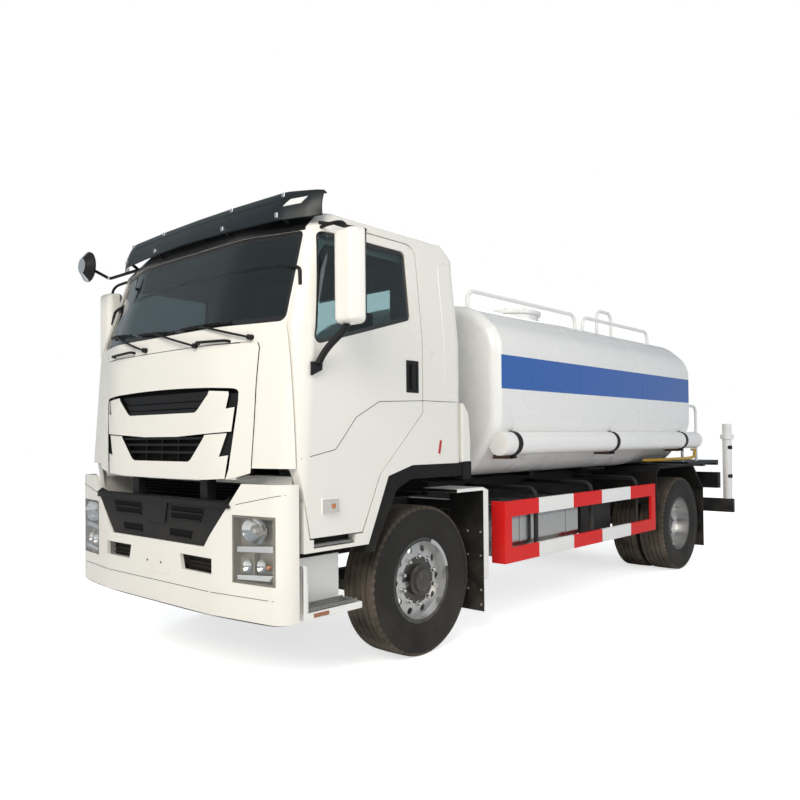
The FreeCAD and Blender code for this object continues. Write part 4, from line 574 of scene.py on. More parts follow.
def carved(bm, tools):
    """A shape with tool shapes cut out of it by a Boolean, which is applied at once."""
    holders = []
    for shape in (bm, joined(tools)):
        mesh = bpy.data.meshes.new("carving")
        shape.to_mesh(mesh)
        holders.append(bpy.data.objects.new("carving", mesh))
        scene.collection.objects.link(holders[-1])
    cut = holders[0].modifiers.new("cut", "BOOLEAN")
    cut.operation = "DIFFERENCE"
    cut.solver = "EXACT"
    cut.object = holders[1]
    depsgraph = bpy.context.evaluated_depsgraph_get()
    result = bpy.data.meshes.new_from_object(holders[0].evaluated_get(depsgraph))
    made = bmesh.new()
    made.from_mesh(result)
    bpy.data.meshes.remove(result)
    for holder in holders:
        mesh = holder.data
        bpy.data.objects.remove(holder)
        bpy.data.meshes.remove(mesh)
    bmesh.ops.remove_doubles(made, verts=made.verts, dist=WELD)
    return made


print("helpers ready")

# %% [markdown]
# The pressed and welded pieces of a truck have no knife edges: a folded sheet turns over a
# few millimetres. So each CAD piece that shows is copied, welded, and given a small bevel
# and smooth shading, and the copy stands for the CAD piece. The cab shell also has the two
# pockets over its upper steps cut out.

# %% Body panels, frame and fittings
body_of = {name: body for body, names in frame["record"]["behaviour"]["bodies"].items() for name in names}


def mudguard_coat(face):
    """White outside and on top; dark rubber where the guard faces the wheel, and in its flap."""
    inside = face.normal.y < -0.3 or face.calc_center_median().z < 0.44
    return liner_rubber if inside else plain_white


def round_mirror_coat(face):
    """The disc at the end of the arm is bright, the arm is black."""
    disc = face.calc_center_median().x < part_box("front_mirror")[0].x + 0.14
    return mirror_silver if disc and face.normal.y < -0.5 else trim_plastic


def rear_lamp_coat(face):
    return red_lens if face.normal.y > 0.5 else trim_plastic


DRESS = (
    (frame_paint, "frame_paint", {
        "ladder_frame": 0.003, "front_axle_beam": 0.012, "rear_axle_housing": 0.0, "leaf_springs": 0.003,
        "drive_shaft": 0.0, "tank_saddles": 0.003, "guard_hangers": 0.0, "air_tanks": 0.01,
        "rear_platform": 0.002, "underrun_bar": 0.006}),
    (cast_iron, "cast", {"knuckle_left": 0.002, "knuckle_right": 0.002, "engine_block": 0.006,
                         "water_pump": 0.004}),
    (trim_plastic, "black_plastic", {
        "radiator": 0.002, "bumper_grille": 0.004, "steering_wheel": 0.0, "hose_bands": 0.001,
        "battery_box": 0.008}),
    (liner_rubber, "black_plastic", {"arch_liners": 0.004, "rear_mudguards": 0.004}),
    (round_mirror_coat, "black_plastic", {"front_mirror": 0.0}),
    (rear_lamp_coat, "black_plastic", {"rear_lamps": 0.004}),
    (cab_grey, "dash_plastic", {"dashboard": 0.02}),
    (cab_paint, "cab_paint", {"bumper": 0.004, "door_left": 0.004, "door_right": 0.004}),
    (plain_white, "cab_paint", {"entry_steps": 0.003}),
    (mudguard_coat, "cab_paint", {"front_mudguards": 0.003}),
    (tank_paint, "tank_paint", {"tank_shell": 0.0}),
    (guard_paint, "guard_paint", {"side_guards": 0.003}),
    (polished, "polished", {"fuel_tank": 0.006, "fuel_straps": 0.001}),
    (plain_white, "white_pipe", {
        "manhole_lid": 0.006, "roof_rails": 0.0, "hose_tubes": 0.003, "platform_railing": 0.0,
        "spray_pipes": 0.003, "cannon_swivel": 0.002, "cannon_barrel": 0.001}),
)
for paint, slot_name, edges in DRESS:
    for name, edge in edges.items():
        piece(name + "_dressed", [(cad_copy(name), paint)], body_of[name], (name,), edge)
step_pocket = block((1.17, aft(-1.079), 0.873), (1.40, aft(-0.733), 0.938))
pockets = [step_pocket, other_side(step_pocket)]
step_liner = block((1.160, aft(-1.085), 0.866), (1.1705, aft(-0.727), 0.944))
cab_parts = [(carved(cad_copy("cab_shell"), pockets), cab_paint)] + both([(step_liner, liner_rubber)])
piece("cab_body", cab_parts, body_of["cab_shell"], ("cab_shell",), 0.004)
print("dressed", sum(len(edges) for _, _, edges in DRESS), "CAD pieces and the cab shell")

# %% [markdown]
# Lamps, wipers and trim sit on curved panels. A ray from outside finds the panel at any
# place, so a fitting is described by where it is seen and the CAD gives the missing
# coordinate. A flat grid laid on with such rays becomes trim that follows the bodywork.

# %% Finding and following the bodywork
FAR = 6.0


def skin(*names):
    """CAD nodes made ready for rays."""
    bm = bmesh.new()
    for name in names:
        bm.from_mesh(nodes[name].data)
    tree = BVHTree.FromBMesh(bm)
    bm.free()
    return tree


def land(tree, spot, push):
    """Where a ray through a spot, along push, first meets the bodywork."""
    spot, push = Vector(spot), Vector(push)
    for shift in (0, 0.008, -0.008, 0.02, -0.02, 0.04, -0.04):
        hit = tree.ray_cast(spot - push * FAR + Vector((0, 0, shift)), push)[0]
        if hit:
            return hit
    return spot


BACKWARD, INWARD = Vector((0, 1, 0)), Vector((-1, 0, 0))
cab_face = skin("cab_shell", "front_panel", "cab_glass")
cab_side = skin("cab_shell", "door_left", "door_glass_left")
bumper_face = skin("bumper", "headlamps", "bumper_grille")


def front_spot(x, z, lift=0.0, tree=cab_face):
    return Vector((x, land(tree, (x, 0, z), BACKWARD).y - lift, z))


def side_spot(y, z, lift=0.0, tree=cab_side):
    return Vector((land(tree, (0, y, z), INWARD).x + lift, y, z))


def laid_on(corners, across, up, tree, push, lift, thick):
    """A thin plate between four corners, laid onto the bodywork along push."""
    bm = bmesh.new()
    bmesh.ops.create_grid(bm, x_segments=across, y_segments=up, size=0.5)
    low_near, low_far, high_far, high_near = (Vector(c) for c in corners)
    push = Vector(push)
    for v in bm.verts:
        s, t = v.co.x + 0.5, v.co.y + 0.5
        spot = low_near.lerp(low_far, s).lerp(high_near.lerp(high_far, s), t)
        v.co = land(tree, spot, push) - push * lift
    bm.normal_update()
    if sum(face.normal.dot(push) for face in bm.faces) > 0:
        bmesh.ops.reverse_faces(bm, faces=bm.faces)
    bmesh.ops.solidify(bm, geom=list(bm.faces), thickness=thick)
    bmesh.ops.recalc_face_normals(bm, faces=bm.faces)
    return bm


def front_plate(corners, across, up, lift, thick, tree=bumper_face):
    """A plate laid onto the truck's front between four (x, z) corners."""
    return laid_on([(x, 0, z) for x, z in corners], across, up, tree, BACKWARD, lift, thick)


LINE_STEP = 0.11


def line_across(cells, low, high, tree, lift, thick):
    """A thin line from side to side, laid on in short lengths."""
    parts = []
    for k in range(-cells, cells):
        near, far = k * LINE_STEP, (k + 1) * LINE_STEP
        corners = ((near, low), (far, low), (far, high), (near, high))
        parts.append(front_plate(corners, 2, 1, lift, thick, tree))
    return joined(parts)


print("nose at", round(front_spot(0, 1.6).y, 3), "door skin at", round(side_spot(aft(-0.5), 1.6).x, 3))

# %% [markdown]
# A truck tyre on the steering axle has ribs, not blocks: straight grooves let water out and
# the shoulder carries short notches. Its section is drawn once as a line of (place, radius)
# spots and spun. Every second face of the shoulder is then inset and pushed in.

# %% Tyres
TYRE_STEPS = 112
GROOVES = (-0.078, -0.027, 0.027, 0.078)
GROOVE_HALF, GROOVE_DEPTH = 0.0065, 0.013
TREAD_EDGE, SHOULDER_LOW, SHOULDER_X = 0.5, 0.498, (0.126, 0.138)


def tyre_section():
    """The section from one bead to the other, as (place, radius) spots."""
    side = [(0.103, 0.286), (0.112, 0.297), (0.123, 0.301), (0.127, 0.308), (0.1305, 0.325), (0.1315, 0.327),
            (0.141, 0.36), (0.1465, 0.395), (0.1475, 0.42), (0.146, 0.447), (0.1425, 0.470), (0.1445, 0.473),
            (0.1415, 0.492), (0.138, 0.497), (0.134, 0.511), (0.125, 0.519)]
    tread = []
    for groove in reversed(GROOVES):
        crown = TYRE_RADIUS - 0.0025 * (groove / 0.125) ** 2
        tread += [(groove + GROOVE_HALF, crown), (groove + GROOVE_HALF / 2, crown - GROOVE_DEPTH),
                  (groove - GROOVE_HALF / 2, crown - GROOVE_DEPTH), (groove - GROOVE_HALF, crown)]
    return side + tread + [(-place, radius) for place, radius in reversed(side)]


def tyre(x, axle_y):
    """One tyre, with notches in both shoulders."""
    centre = Vector((x, axle_y, TYRE_RADIUS))
    bm = lathe(tyre_section(), centre, "X", TYRE_STEPS)
    shoulder = []
    for face in bm.faces:
        middle = face.calc_center_median() - centre
        radius = math.hypot(middle.y, middle.z)
        turn = (math.atan2(middle.z, middle.y) / math.tau * TYRE_STEPS) % 2
        if radius > SHOULDER_LOW and SHOULDER_X[0] < abs(middle.x) < SHOULDER_X[1] and turn < 1:
            shoulder.append(face)
    bmesh.ops.inset_individual(bm, faces=shoulder, thickness=0.002, depth=-0.004)
    return bm


def wheel_radius(face):
    """How far a face lies from its own wheel's axle."""
    middle = face.calc_center_median()
    near = min((FRONT_AXLE, REAR_AXLE), key=lambda y: abs(y - middle.y))
    return math.hypot(middle.y - near, middle.z - TYRE_RADIUS)


def tyre_coat(face):
    return tread_rubber if wheel_radius(face) > TREAD_EDGE else tyre_rubber


rear_low, rear_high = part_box("tyres_rear_left")
REAR_AXLE = (rear_low.y + rear_high.y) / 2
FRONT_WHEEL_X = (tyre_low.x + tyre_high.x) / 2
TYRE_WIDTH = tyre_high.x - tyre_low.x
OUTER_X, INNER_X = rear_high.x - TYRE_WIDTH / 2, rear_low.x + TYRE_WIDTH / 2
SIDES = (("left", 1), ("right", -1))
for side, sign in SIDES:
    name = "tyre_front_" + side
    piece("tread_front_" + side, [(tyre(sign * FRONT_WHEEL_X, FRONT_AXLE), tyre_coat)], body_of[name],
          (name,))
    name = "tyres_rear_" + side
    pair = joined([tyre(sign * OUTER_X, REAR_AXLE), tyre(sign * INNER_X, REAR_AXLE)])
    piece("tread_rear_" + side, [(pair, tyre_coat)], body_of[name], (name,))
print("6 tyres of", len(tyre_section()), "spots by", TYRE_STEPS, "steps")

# %% [markdown]
# A pressed steel wheel is lightened and cooled by hand holes round its disc. They are cut
# here from the CAD rim with ten round rods, and the finish changes with the distance from
# the axle: dark hub, silver disc, polished flange.

# %% Rims with hand holes
HOLE_RING, HOLE_RADIUS, HOLES = 0.222, 0.024, 10
HUB_EDGE, FLANGE_EDGE = 0.118, 0.276


def ring_spots(axle_y, radius, count, shift=0.0):
    """Evenly spaced (y, z) spots round an axle."""
    angles = [math.tau * (number + shift) / count for number in range(count)]
    return [(axle_y + radius * math.cos(angle), TYRE_RADIUS + radius * math.sin(angle)) for angle in angles]


def rim_coat(face):
    radius = wheel_radius(face)
    if radius < HUB_EDGE:
        return hub_black
    return polished if radius > FLANGE_EDGE else rim_steel


for side in ("left", "right"):
    for rim, axle_y, rim_slot in (("rim_front_" + side, FRONT_AXLE, "rim_steel"),
                                  ("rims_rear_" + side, REAR_AXLE, "rear_rim_steel")):
        low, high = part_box(rim)
        rods = [rod(((low.x + high.x) / 2, y, z), HOLE_RADIUS, high.x - low.x + 0.1, "X", 20)
                for y, z in ring_spots(axle_y, HOLE_RING, HOLES)]
        piece(rim + "_dressed", [(carved(cad_copy(rim), rods), rim_coat)], body_of[rim], (rim,))
print("4 rims with", HOLES, "holes each")

# %% [markdown]
# Each wheel gets what a fitter would add: ten nuts on their ring, and a black hub with its
# cap and a ring of small bolts. A ray finds the disc, so that the nuts sit on it.

# %% Wheel nuts and hubs
NUT_RING, NUTS = 0.1675, 10
HUB_PROUD = 0.006
STUD_RING = 0.082
NUT = [(-0.004, 0.0), (-0.004, 0.021), (0.004, 0.021), (0.005, 0.0165), (0.020, 0.0155), (0.029, 0.011),
       (0.032, 0.0)]
HUB = [(-0.075, 0.0), (-0.075, 0.098), (-0.05, 0.108), (-0.03, 0.108), (-0.026, 0.1), (-0.02, 0.062),
       (-0.012, 0.056), (-0.008, 0.05), (-0.004, 0.038), (0.0, 0.034), (0.0, 0.0)]


def wheel_fittings(sign, axle_y, rim, hub_x):
    """Nuts and hub for the outside of one wheel; hub_x is how far out the hub reaches."""
    face = skin(rim)
    turned_nut = [(sign * place, radius) for place, radius in NUT]
    parts = []
    for y, z in ring_spots(axle_y, NUT_RING, NUTS, 0.5):
        x = land(face, (0, y, z), Vector((-sign, 0, 0))).x
        parts.append((lathe(turned_nut, (x, y, z), "X", 12), nut_steel))
    hub = lathe([(sign * place, radius) for place, radius in HUB], (hub_x, axle_y, TYRE_RADIUS), "X", 40)
    studs = [rod((hub_x - sign * 0.03, y, z), 0.009, 0.022, "X", 6)
             for y, z in ring_spots(axle_y, STUD_RING, NUTS)]
    return parts + [(hub, hub_black), (joined(studs), hub_black)]


for side, sign in SIDES:
    for rim, axle_y, place in (("rim_front_" + side, FRONT_AXLE, "front"),
                               ("rims_rear_" + side, REAR_AXLE, "rear")):
        low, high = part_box(rim)
        reach = high.x if sign > 0 else low.x
        if place == "rear":
            reach = sign * (OUTER_X + 0.02)
        piece(f"hub_{place}_{side}", wheel_fittings(sign, axle_y, rim, reach + sign * HUB_PROUD),
              body_of[rim])
print("4 hubs with", NUTS, "nuts each")

# %% [markdown]
# The lid is the truck's face: a white arch round a mask, parted by a groove whose walls are
# painted black as painted shade. Each panel is an outline filled flat, cut into columns, bent
# to the cab's curve and thickened.
# The mouths are open, so dark slats and bars stand in real depth behind them.

# %% Front lid with its mask and grilles
LID_THICK, LID_PROUD = 0.030, 0.004
RAY_LEVELS = (1.45, 2.05)
COLUMNS = [k * 0.1 for k in range(-9, 10)]
nose_cache = {}


def nose_y(x, z):
    """The front panel's own surface, carried straight over its openings."""
    key = round(x, 3)
    if key not in nose_cache:
        nose_cache[key] = [min(land(cab_face, (x + step, 0, level), BACKWARD).y
                               for step in (0, 0.014, -0.014)) for level in RAY_LEVELS]
    low, high = nose_cache[key]
    return low + (high - low) * (z - RAY_LEVELS[0]) / (RAY_LEVELS[1] - RAY_LEVELS[0])


def mirrored(half):
    """An outline from its right half."""
    return half + [(-x, z) for x, z in reversed(half)]


def lid_sheet(outline, proud=LID_PROUD, thick=LID_THICK):
    """A panel of the lid: an outline filled, cut into columns, bent and thickened."""
    bm = bmesh.new()
    dots = [bm.verts.new((x, 0, z)) for x, z in outline]
    rim = [bm.edges.new(pair) for pair in zip(dots, dots[1:] + dots[:1])]
    bmesh.ops.triangle_fill(bm, use_beauty=True, use_dissolve=False, edges=rim)
    for x in COLUMNS:
        slice_at(bm, (x, 0, 0), (1, 0, 0))
    for v in bm.verts:
        v.co.y = nose_y(v.co.x, v.co.z) - proud
    push_out(bm, bm.faces[:], (0, thick, 0))
    return bm


def lid_strip(low_half, high_half, z0, z1, proud, thick=0.018):
    return lid_sheet([(-low_half, z0), (low_half, z0), (high_half, z1), (-high_half, z1)], proud, thick)


ARCH = [(0.1, 1.853), (0.3, 1.850), (0.55, 1.842), (0.765, 1.830), (0.798, 1.822), (0.812, 1.806),
        (0.815, 1.785), (0.785, 1.563), (0.741, 1.277), (0.845, 1.296), (0.926, 1.317), (0.936, 1.6),
        (0.941, 1.87), (0.954, 2.07), (0.940, 2.098), (0.5, 2.106), (0.1, 2.108)]
UPPER_MASK = [(0.2, 1.538), (0.45, 1.551), (0.765, 1.566), (0.786, 1.714), (0.716, 1.706), (0.738, 1.79),
              (0.734, 1.811), (0.562, 1.822), (0.549, 1.799), (0.437, 1.705), (0.406, 1.690)]
LOWER_MASK = [(0.2, 1.264), (0.5, 1.267), (0.718, 1.279), (0.742, 1.422), (0.667, 1.412), (0.728, 1.556),
              (0.52, 1.547), (0.505, 1.527), (0.368, 1.390), (0.335, 1.377)]
UPPER_VENT = [(0.70, 1.700), (0.80, 1.712), (0.80, 1.80), (0.72, 1.80)]
LOWER_VENT = [(0.655, 1.405), (0.76, 1.418), (0.78, 1.56), (0.72, 1.56)]
BACKING = [(0.735, 1.290), (0.81, 1.56), (0.835, 1.86), (0.1, 1.866)]
LID_BODY = body_of["front_panel"]


def lid_coat(face):
    """White in front; the cut edges are painted black as painted shade, so that the grooves read as black
    lines.
    """
    return cab_paint if face.normal.y < -0.5 else black_and_painted_shade


lid_parts = [(lid_sheet(mirrored(ARCH)), lid_coat), (lid_sheet(mirrored(UPPER_MASK)), lid_coat),
             (lid_sheet(mirrored(LOWER_MASK), LID_PROUD - 0.002), lid_coat)]
piece("front_lid", lid_parts, LID_BODY, ("front_panel",))
UPPER_STEPS = [(0.40, 0.437, 1.686, 1.716, -0.004), (0.43, 0.485, 1.722, 1.760, -0.012),
               (0.48, 0.560, 1.766, 1.822, -0.020)]
slats = [lid_strip(*step) for step in UPPER_STEPS]
slats += [lid_strip(half, half + 0.012, z0, z1, -0.008)
          for half, z0, z1 in ((0.415, 1.428, 1.444), (0.465, 1.478, 1.494), (0.51, 1.520, 1.535))]
for x in (-0.2, 0.0, 0.2):
    divider = [(x - 0.004, 1.38), (x + 0.004, 1.38), (x + 0.004, 1.53), (x - 0.004, 1.53)]
    slats.append(lid_sheet(divider, -0.014, 0.02))
for vent in (UPPER_VENT, LOWER_VENT):
    slat = lid_sheet(vent, -0.010, 0.02)
    slats += [slat, other_side(slat)]
mouth_parts = [(lid_sheet(mirrored(BACKING), -0.040, 0.006), black_and_painted_shade), (joined(slats), trim_plastic)]
piece("lid_grilles", mouth_parts, LID_BODY, ("panel_grille",))
scuttle = lid_sheet(mirrored([(0.1, 2.113), (0.86, 2.108), (0.86, 2.172), (0.1, 2.176)]), 0.002, 0.03)
piece("scuttle", [(scuttle, cab_paint)], body_of["cab_shell"], (), 0.002)
print("lid of", len(lid_parts), "panels and", len(slats), "slats")

# %% [markdown]
# A headlamp is a dark bucket behind a clear cover. The bucket starts from the CAD solid: its
# front faces are inset for the frame and pushed in for the depth. A faceted bowl, two small
# bowls and two bright bars stand inside, and a thin clear sheet closes it.

# %% Headlamps
LAMP_BODY = body_of["headlamps"]
LAMP_DEPTH = 0.052
bucket = cad_copy("headlamps")
fronts = [f for f in bucket.faces if f.normal.y < -0.3 and abs(f.calc_center_median().x) > 0.7]
cover = bucket.copy()
cover_keep = {f.index for f in fronts}
bmesh.ops.inset_region(bucket, faces=fronts, thickness=0.016, depth=0.0, use_even_offset=True)
pushed = bmesh.ops.extrude_face_region(bucket, geom=fronts)["geom"]
pushed_verts = [v for v in pushed if isinstance(v, bmesh.types.BMVert)]
bmesh.ops.translate(bucket, vec=(0, LAMP_DEPTH, 0), verts=pushed_verts)
bmesh.ops.delete(bucket, geom=[f for f in fronts if f.is_valid], context="FACES_ONLY")
cover.faces.ensure_lookup_table()
bmesh.ops.delete(cover, geom=[f for f in cover.faces if f.index not in cover_keep], context="FACES")
bmesh.ops.solidify(cover, geom=list(cover.faces), thickness=0.003)
bmesh.ops.recalc_face_normals(cover, faces=cover.faces)


def bowl(x, z, radius, depth, steps, sink, widen=1.0):
    """A reflector that faces forward, its rim set behind the cover."""
    rim_y = front_spot(x, z, tree=bumper_face).y + sink
    profile = [(-depth * (1 - (k / 5) ** 2), radius * k / 5) for k in range(6)]
    bm = lathe([(-place, r) for place, r in profile], (x, rim_y, z), "Y", steps)
    bmesh.ops.scale(bm, vec=(widen, 1, 1), space=Matrix.Translation((-x, 0, 0)), verts=bm.verts)
    return bm


def front_rod(x, z, sink, radius, length, steps, round_off):
    """A round bar that points forward, its middle sunk behind the bumper's face."""
    return rod(front_spot(x, z, -sink, bumper_face), radius, length, "Y", steps, round_off)


main_bowl = bowl(1.0, 0.983, 0.077, 0.045, 14, 0.014, 1.6)
bulb = front_rod(0.990, 0.983, 0.035, 0.014, 0.04, 14, 0.006)
low_bowls = [bowl(0.935, 0.772, 0.042, 0.028, 12, 0.02), bowl(1.045, 0.778, 0.042, 0.028, 12, 0.022)]
turn_bulb = front_rod(1.095, 0.775, 0.03, 0.014, 0.03, 14, 0.005)
bars_across = [front_plate(corners, 14, 3, -0.012, 0.022)
               for corners in (((0.862, 0.852), (1.165, 0.868), (1.172, 0.905), (0.862, 0.884)),
                               ((0.862, 0.690), (1.115, 0.700), (1.15, 0.735), (0.862, 0.716)))]
divider = front_plate(((0.985, 0.715), (0.995, 0.715), (0.995, 0.85), (0.985, 0.85)), 2, 6, -0.016, 0.03)
lamp_parts = [(bucket, lamp_grey), (cover, lamp_glass)]
lamp_parts += both([(main_bowl, chrome), (bulb, clear_lens), (low_bowls[0], chrome), (low_bowls[1], chrome),
                    (turn_bulb, amber), (bars_across[0], chrome), (bars_across[1], chrome),
                    (divider, lamp_grey)])
piece("headlamp_units", lamp_parts, LAMP_BODY, ("headlamps",))
print("headlamps of", len(lamp_parts), "shapes")

# %% [markdown]
# The bumper's own fittings are small: a raised pad for the number plate with two screw
# holes, a thin black line of painted shade where the lower valance joins, the insert's lip and
# shield, slots drawn as flat black plates of painted shade, bars in the fog lamp openings, a
# rubber lip below, and the cooler's dark fins seen above.

# %% Bumper fittings
pad_corners = ((-0.18, 0.645), (0.18, 0.645), (0.18, 0.752), (-0.18, 0.752))
plate_pad = front_plate(pad_corners, 2, 2, 0.003, 0.006)
screw_holes = [front_rod(x, 0.715, -0.004, 0.007, 0.004, 12, 0.001) for x in (-0.085, 0.085)]
# The valance seam is a thin black line of painted shade laid on the bumper.
valance_shade_line = line_across(11, 0.5905, 0.5935, bumper_face, 0.0012, 0.002)
# The seams at the bumper's corners are black lines of painted shade too.
seam_corners = ((0.862, 1.130), (1.215, 1.196), (1.215, 1.199), (0.862, 1.133))
corner_shade_line = front_plate(seam_corners, 16, 1, 0.0012, 0.002)
bumper_parts = [(plate_pad, cab_paint), (joined(screw_holes), trim_plastic), (valance_shade_line, black_and_painted_shade)]
bumper_parts += both([(corner_shade_line, black_and_painted_shade)])
bumper_low, bumper_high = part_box("bumper")
insert_lip = front_plate(((-0.825, 1.107), (0.825, 1.107), (0.80, 1.148), (-0.80, 1.148)), 40, 3, 0.016, 0.05)
shield = front_plate(((-0.12, 0.976), (0.12, 0.976), (0.15, 1.112), (-0.15, 1.112)), 10, 4, 0.010, 0.02)
bumper_parts += [(insert_lip, trim_plastic), (shield, trim_plastic)]
for x0, x1, z0, z1 in ((0.19, 0.53, 1.015, 1.047), (0.19, 0.55, 1.059, 1.091), (0.17, 0.42, 0.90, 0.945)):
    # Each slot is a flat black plate of painted shade, with a proud lip along its bottom edge.
    slot_shade_plate = front_plate(((x0, z0), (x1, z0), (x1 + 0.02, z1), (x0, z1)), 10, 2, 0.001, 0.003)
    slot_rim = front_plate(((x0, z0 - 0.006), (x1, z0 - 0.006), (x1, z0), (x0, z0)), 10, 1, 0.010, 0.012)
    bumper_parts += both([(slot_shade_plate, black_and_painted_shade), (slot_rim, trim_plastic)])
lip_line = [(x, front_spot(x, 0.462, tree=bumper_face).y + 0.012, 0.456)
            for x in (-1.17, -1.05, -0.9, -0.6, 0, 0.6, 0.9, 1.05, 1.17)]
lip_line = [(-1.2, bumper_high.y - 0.02, 0.456), *lip_line, (1.2, bumper_high.y - 0.02, 0.456)]
bumper_parts.append((bar(lip_line, 0.011), trim_plastic))
for z in (0.715, 0.745, 0.775):
    fog_bar = block((0.33, bumper_low.y + 0.055, z - 0.004), (0.65, bumper_low.y + 0.062, z + 0.004))
    bumper_parts += both([(fog_bar, trim_plastic)])
fog_back = block((0.30, bumper_low.y + 0.075, 0.69), (0.67, bumper_low.y + 0.085, 0.80))
bumper_parts += both([(fog_back, liner_rubber)])
cooler_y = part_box("radiator")[0].y - 0.03
bumper_parts.append((block((-0.86, cooler_y, 1.02), (0.86, cooler_y + 0.012, 1.34), 0.003), black_and_painted_shade))
fins = [block((-0.72, cooler_y - 0.022, z), (0.72, cooler_y, z + 0.006), 0.001, 1)
        for z in (1.135 + row * 0.021 for row in range(9))]
bumper_parts.append((joined(fins), trim_plastic))
piece("bumper_fittings", bumper_parts, body_of["bumper"])
print("bumper fittings:", len(bumper_parts), "shapes")

# %% [markdown]
# The windscreen is bonded, so its edge is printed black to hide the glue, and the side
# windows sit in black rubber. A side window's outer face is inset, and the ring that this
# leaves goes black. The curved windscreen is cut by four planes instead, one for each edge.

# %% Windows and their borders


def bordered_glass(node_name, facing, width):
    """A copy of a CAD pane whose outer edge is black for the given width."""
    bm = cad_copy(node_name)
    facing = Vector(facing)
    outer = [f for f in bm.faces if f.normal.dot(facing) > 0.5]
    ring = bmesh.ops.inset_region(bm, faces=outer, thickness=width, depth=0.0, use_even_offset=True)["faces"]
    bm.faces.index_update()
    black = {f.index for f in ring if f not in outer}
    return bm, lambda face: glass_rubber if face.index in black else cab_window


SCREEN_LOW, SCREEN_TOP, BORDER = (1.120, 2.215), (1.075, 2.800), 0.036
SCREEN_LEAN = (SCREEN_LOW[0] - SCREEN_TOP[0]) / (SCREEN_TOP[1] - SCREEN_LOW[1])
screen = cad_copy("cab_glass")
cuts = [((0, 0, SCREEN_LOW[1] + BORDER), (0, 0, 1)), ((0, 0, SCREEN_TOP[1] - BORDER), (0, 0, 1))]
cuts += [((side * (SCREEN_LOW[0] - BORDER), 0, SCREEN_LOW[1]), (side, 0, SCREEN_LEAN)) for side in (1, -1)]
for cut_place, cut_normal in cuts:
    slice_at(screen, cut_place, cut_normal)


def screen_coat(face):
    """Black where the face lies outside the four cuts, on the windscreen only."""
    middle = face.calc_center_median()
    edge = SCREEN_LOW[0] - BORDER - SCREEN_LEAN * (middle.z - SCREEN_LOW[1])
    inside = SCREEN_LOW[1] + BORDER < middle.z < SCREEN_TOP[1] - BORDER and abs(middle.x) < edge
    return cab_window if inside or middle.y > aft(-0.6) else glass_rubber


piece("windscreen", [(screen, screen_coat)], body_of["cab_glass"], ("cab_glass",))
for side, sign in SIDES:
    pane, pane_coat = bordered_glass("door_glass_" + side, (sign, 0, 0), 0.024)
    piece("door_window_" + side, [(pane, pane_coat)], body_of["door_glass_" + side],
          ("door_glass_" + side,))
header_corners = ((-1.085, 2.80), (1.085, 2.80), (1.07, 2.91), (-1.07, 2.91))
header = front_plate(header_corners, 40, 5, 0.0035, 0.003, cab_face)
piece("header_band", [(header, glass_rubber)], body_of["cab_shell"])
print("4 panes with black borders")

# %% [markdown]
# Three wipers park along the bottom of the screen. Each has a pivot cap on the scuttle, an
# arm that rises over the glass, and a blade held a little off it, all laid out along the
# screen with the same rays. Two grab handles sit below them.

# %% Wipers and front handles
WIPERS = (((0.893, 2.132), (0.465, 2.236), (0.209, 2.241), (0.721, 2.236)),
          ((0.416, 2.115), (-0.10, 2.246), (-0.345, 2.261), (0.121, 2.232)),
          ((-0.202, 2.138), (-0.70, 2.285), (-0.93, 2.300), (-0.46, 2.270)))
wiper_shapes = []
for pivot, hold, start, stop in WIPERS:
    base = front_spot(*pivot)
    middle = front_spot((pivot[0] + hold[0]) / 2, (pivot[1] + hold[1]) / 2, 0.05)
    line = [front_spot(start[0] + (stop[0] - start[0]) * t, start[1] + (stop[1] - start[1]) * t, 0.016)
            for t in (k / 6 for k in range(7))]
    upper = [spot + Vector((0, -0.012, 0.004)) for spot in line[1:-1]]
    wiper_shapes += [rod(base + Vector((0, -0.012, 0)), 0.017, 0.045, "Y", 16, 0.005),
                     bar([base + Vector((0, -0.03, 0)), middle, front_spot(*hold, 0.036)], 0.0075),
                     bar(line, 0.0085), bar(upper, 0.005),
                     rod(front_spot(*hold, 0.03), 0.011, 0.05, "X", 10, 0.003)]
HANDLES = (((0.446, 2.126), (0.734, 2.117)), ((-0.358, 2.132), (-0.66, 2.124)))
for near, far in HANDLES:
    a, b = front_spot(*near), front_spot(*far)
    rise = Vector((0, -0.036, 0.004))
    inner = (b - a).normalized() * 0.02
    handle_line = [a, a + rise * 0.8, a + rise + inner, b + rise - inner, b + rise * 0.8, b]
    wiper_shapes.append(bar(handle_line, 0.009))
piece("wipers_and_handles", [(joined(wiper_shapes), trim_plastic)], body_of["cab_shell"])
print("3 wipers and 2 handles from", len(wiper_shapes), "shapes")

# %% [markdown]
# The grab handle by the pillar, the door handle in its dish, the clear side lamp with its
# amber bulb and the deflector over the window are the fittings on the cab's flank. The dish
# is a raised block whose deeper black is painted shade. Thin lines draw the cladding's edge,
# in black as painted shade, and the rear corner's panel, and a flare ends the arch.

# %% Fittings on the doors and cab sides


def side_block(y0, y1, z0, z1, sink, proud, round_off, segments=4):
    """A rounded block let into the cab's side, out as far as proud."""
    face = side_spot((aft(y0) + aft(y1)) / 2, (z0 + z1) / 2).x
    return block((face - sink, aft(y0), z0), (face + proud, aft(y1), z1), round_off, segments)


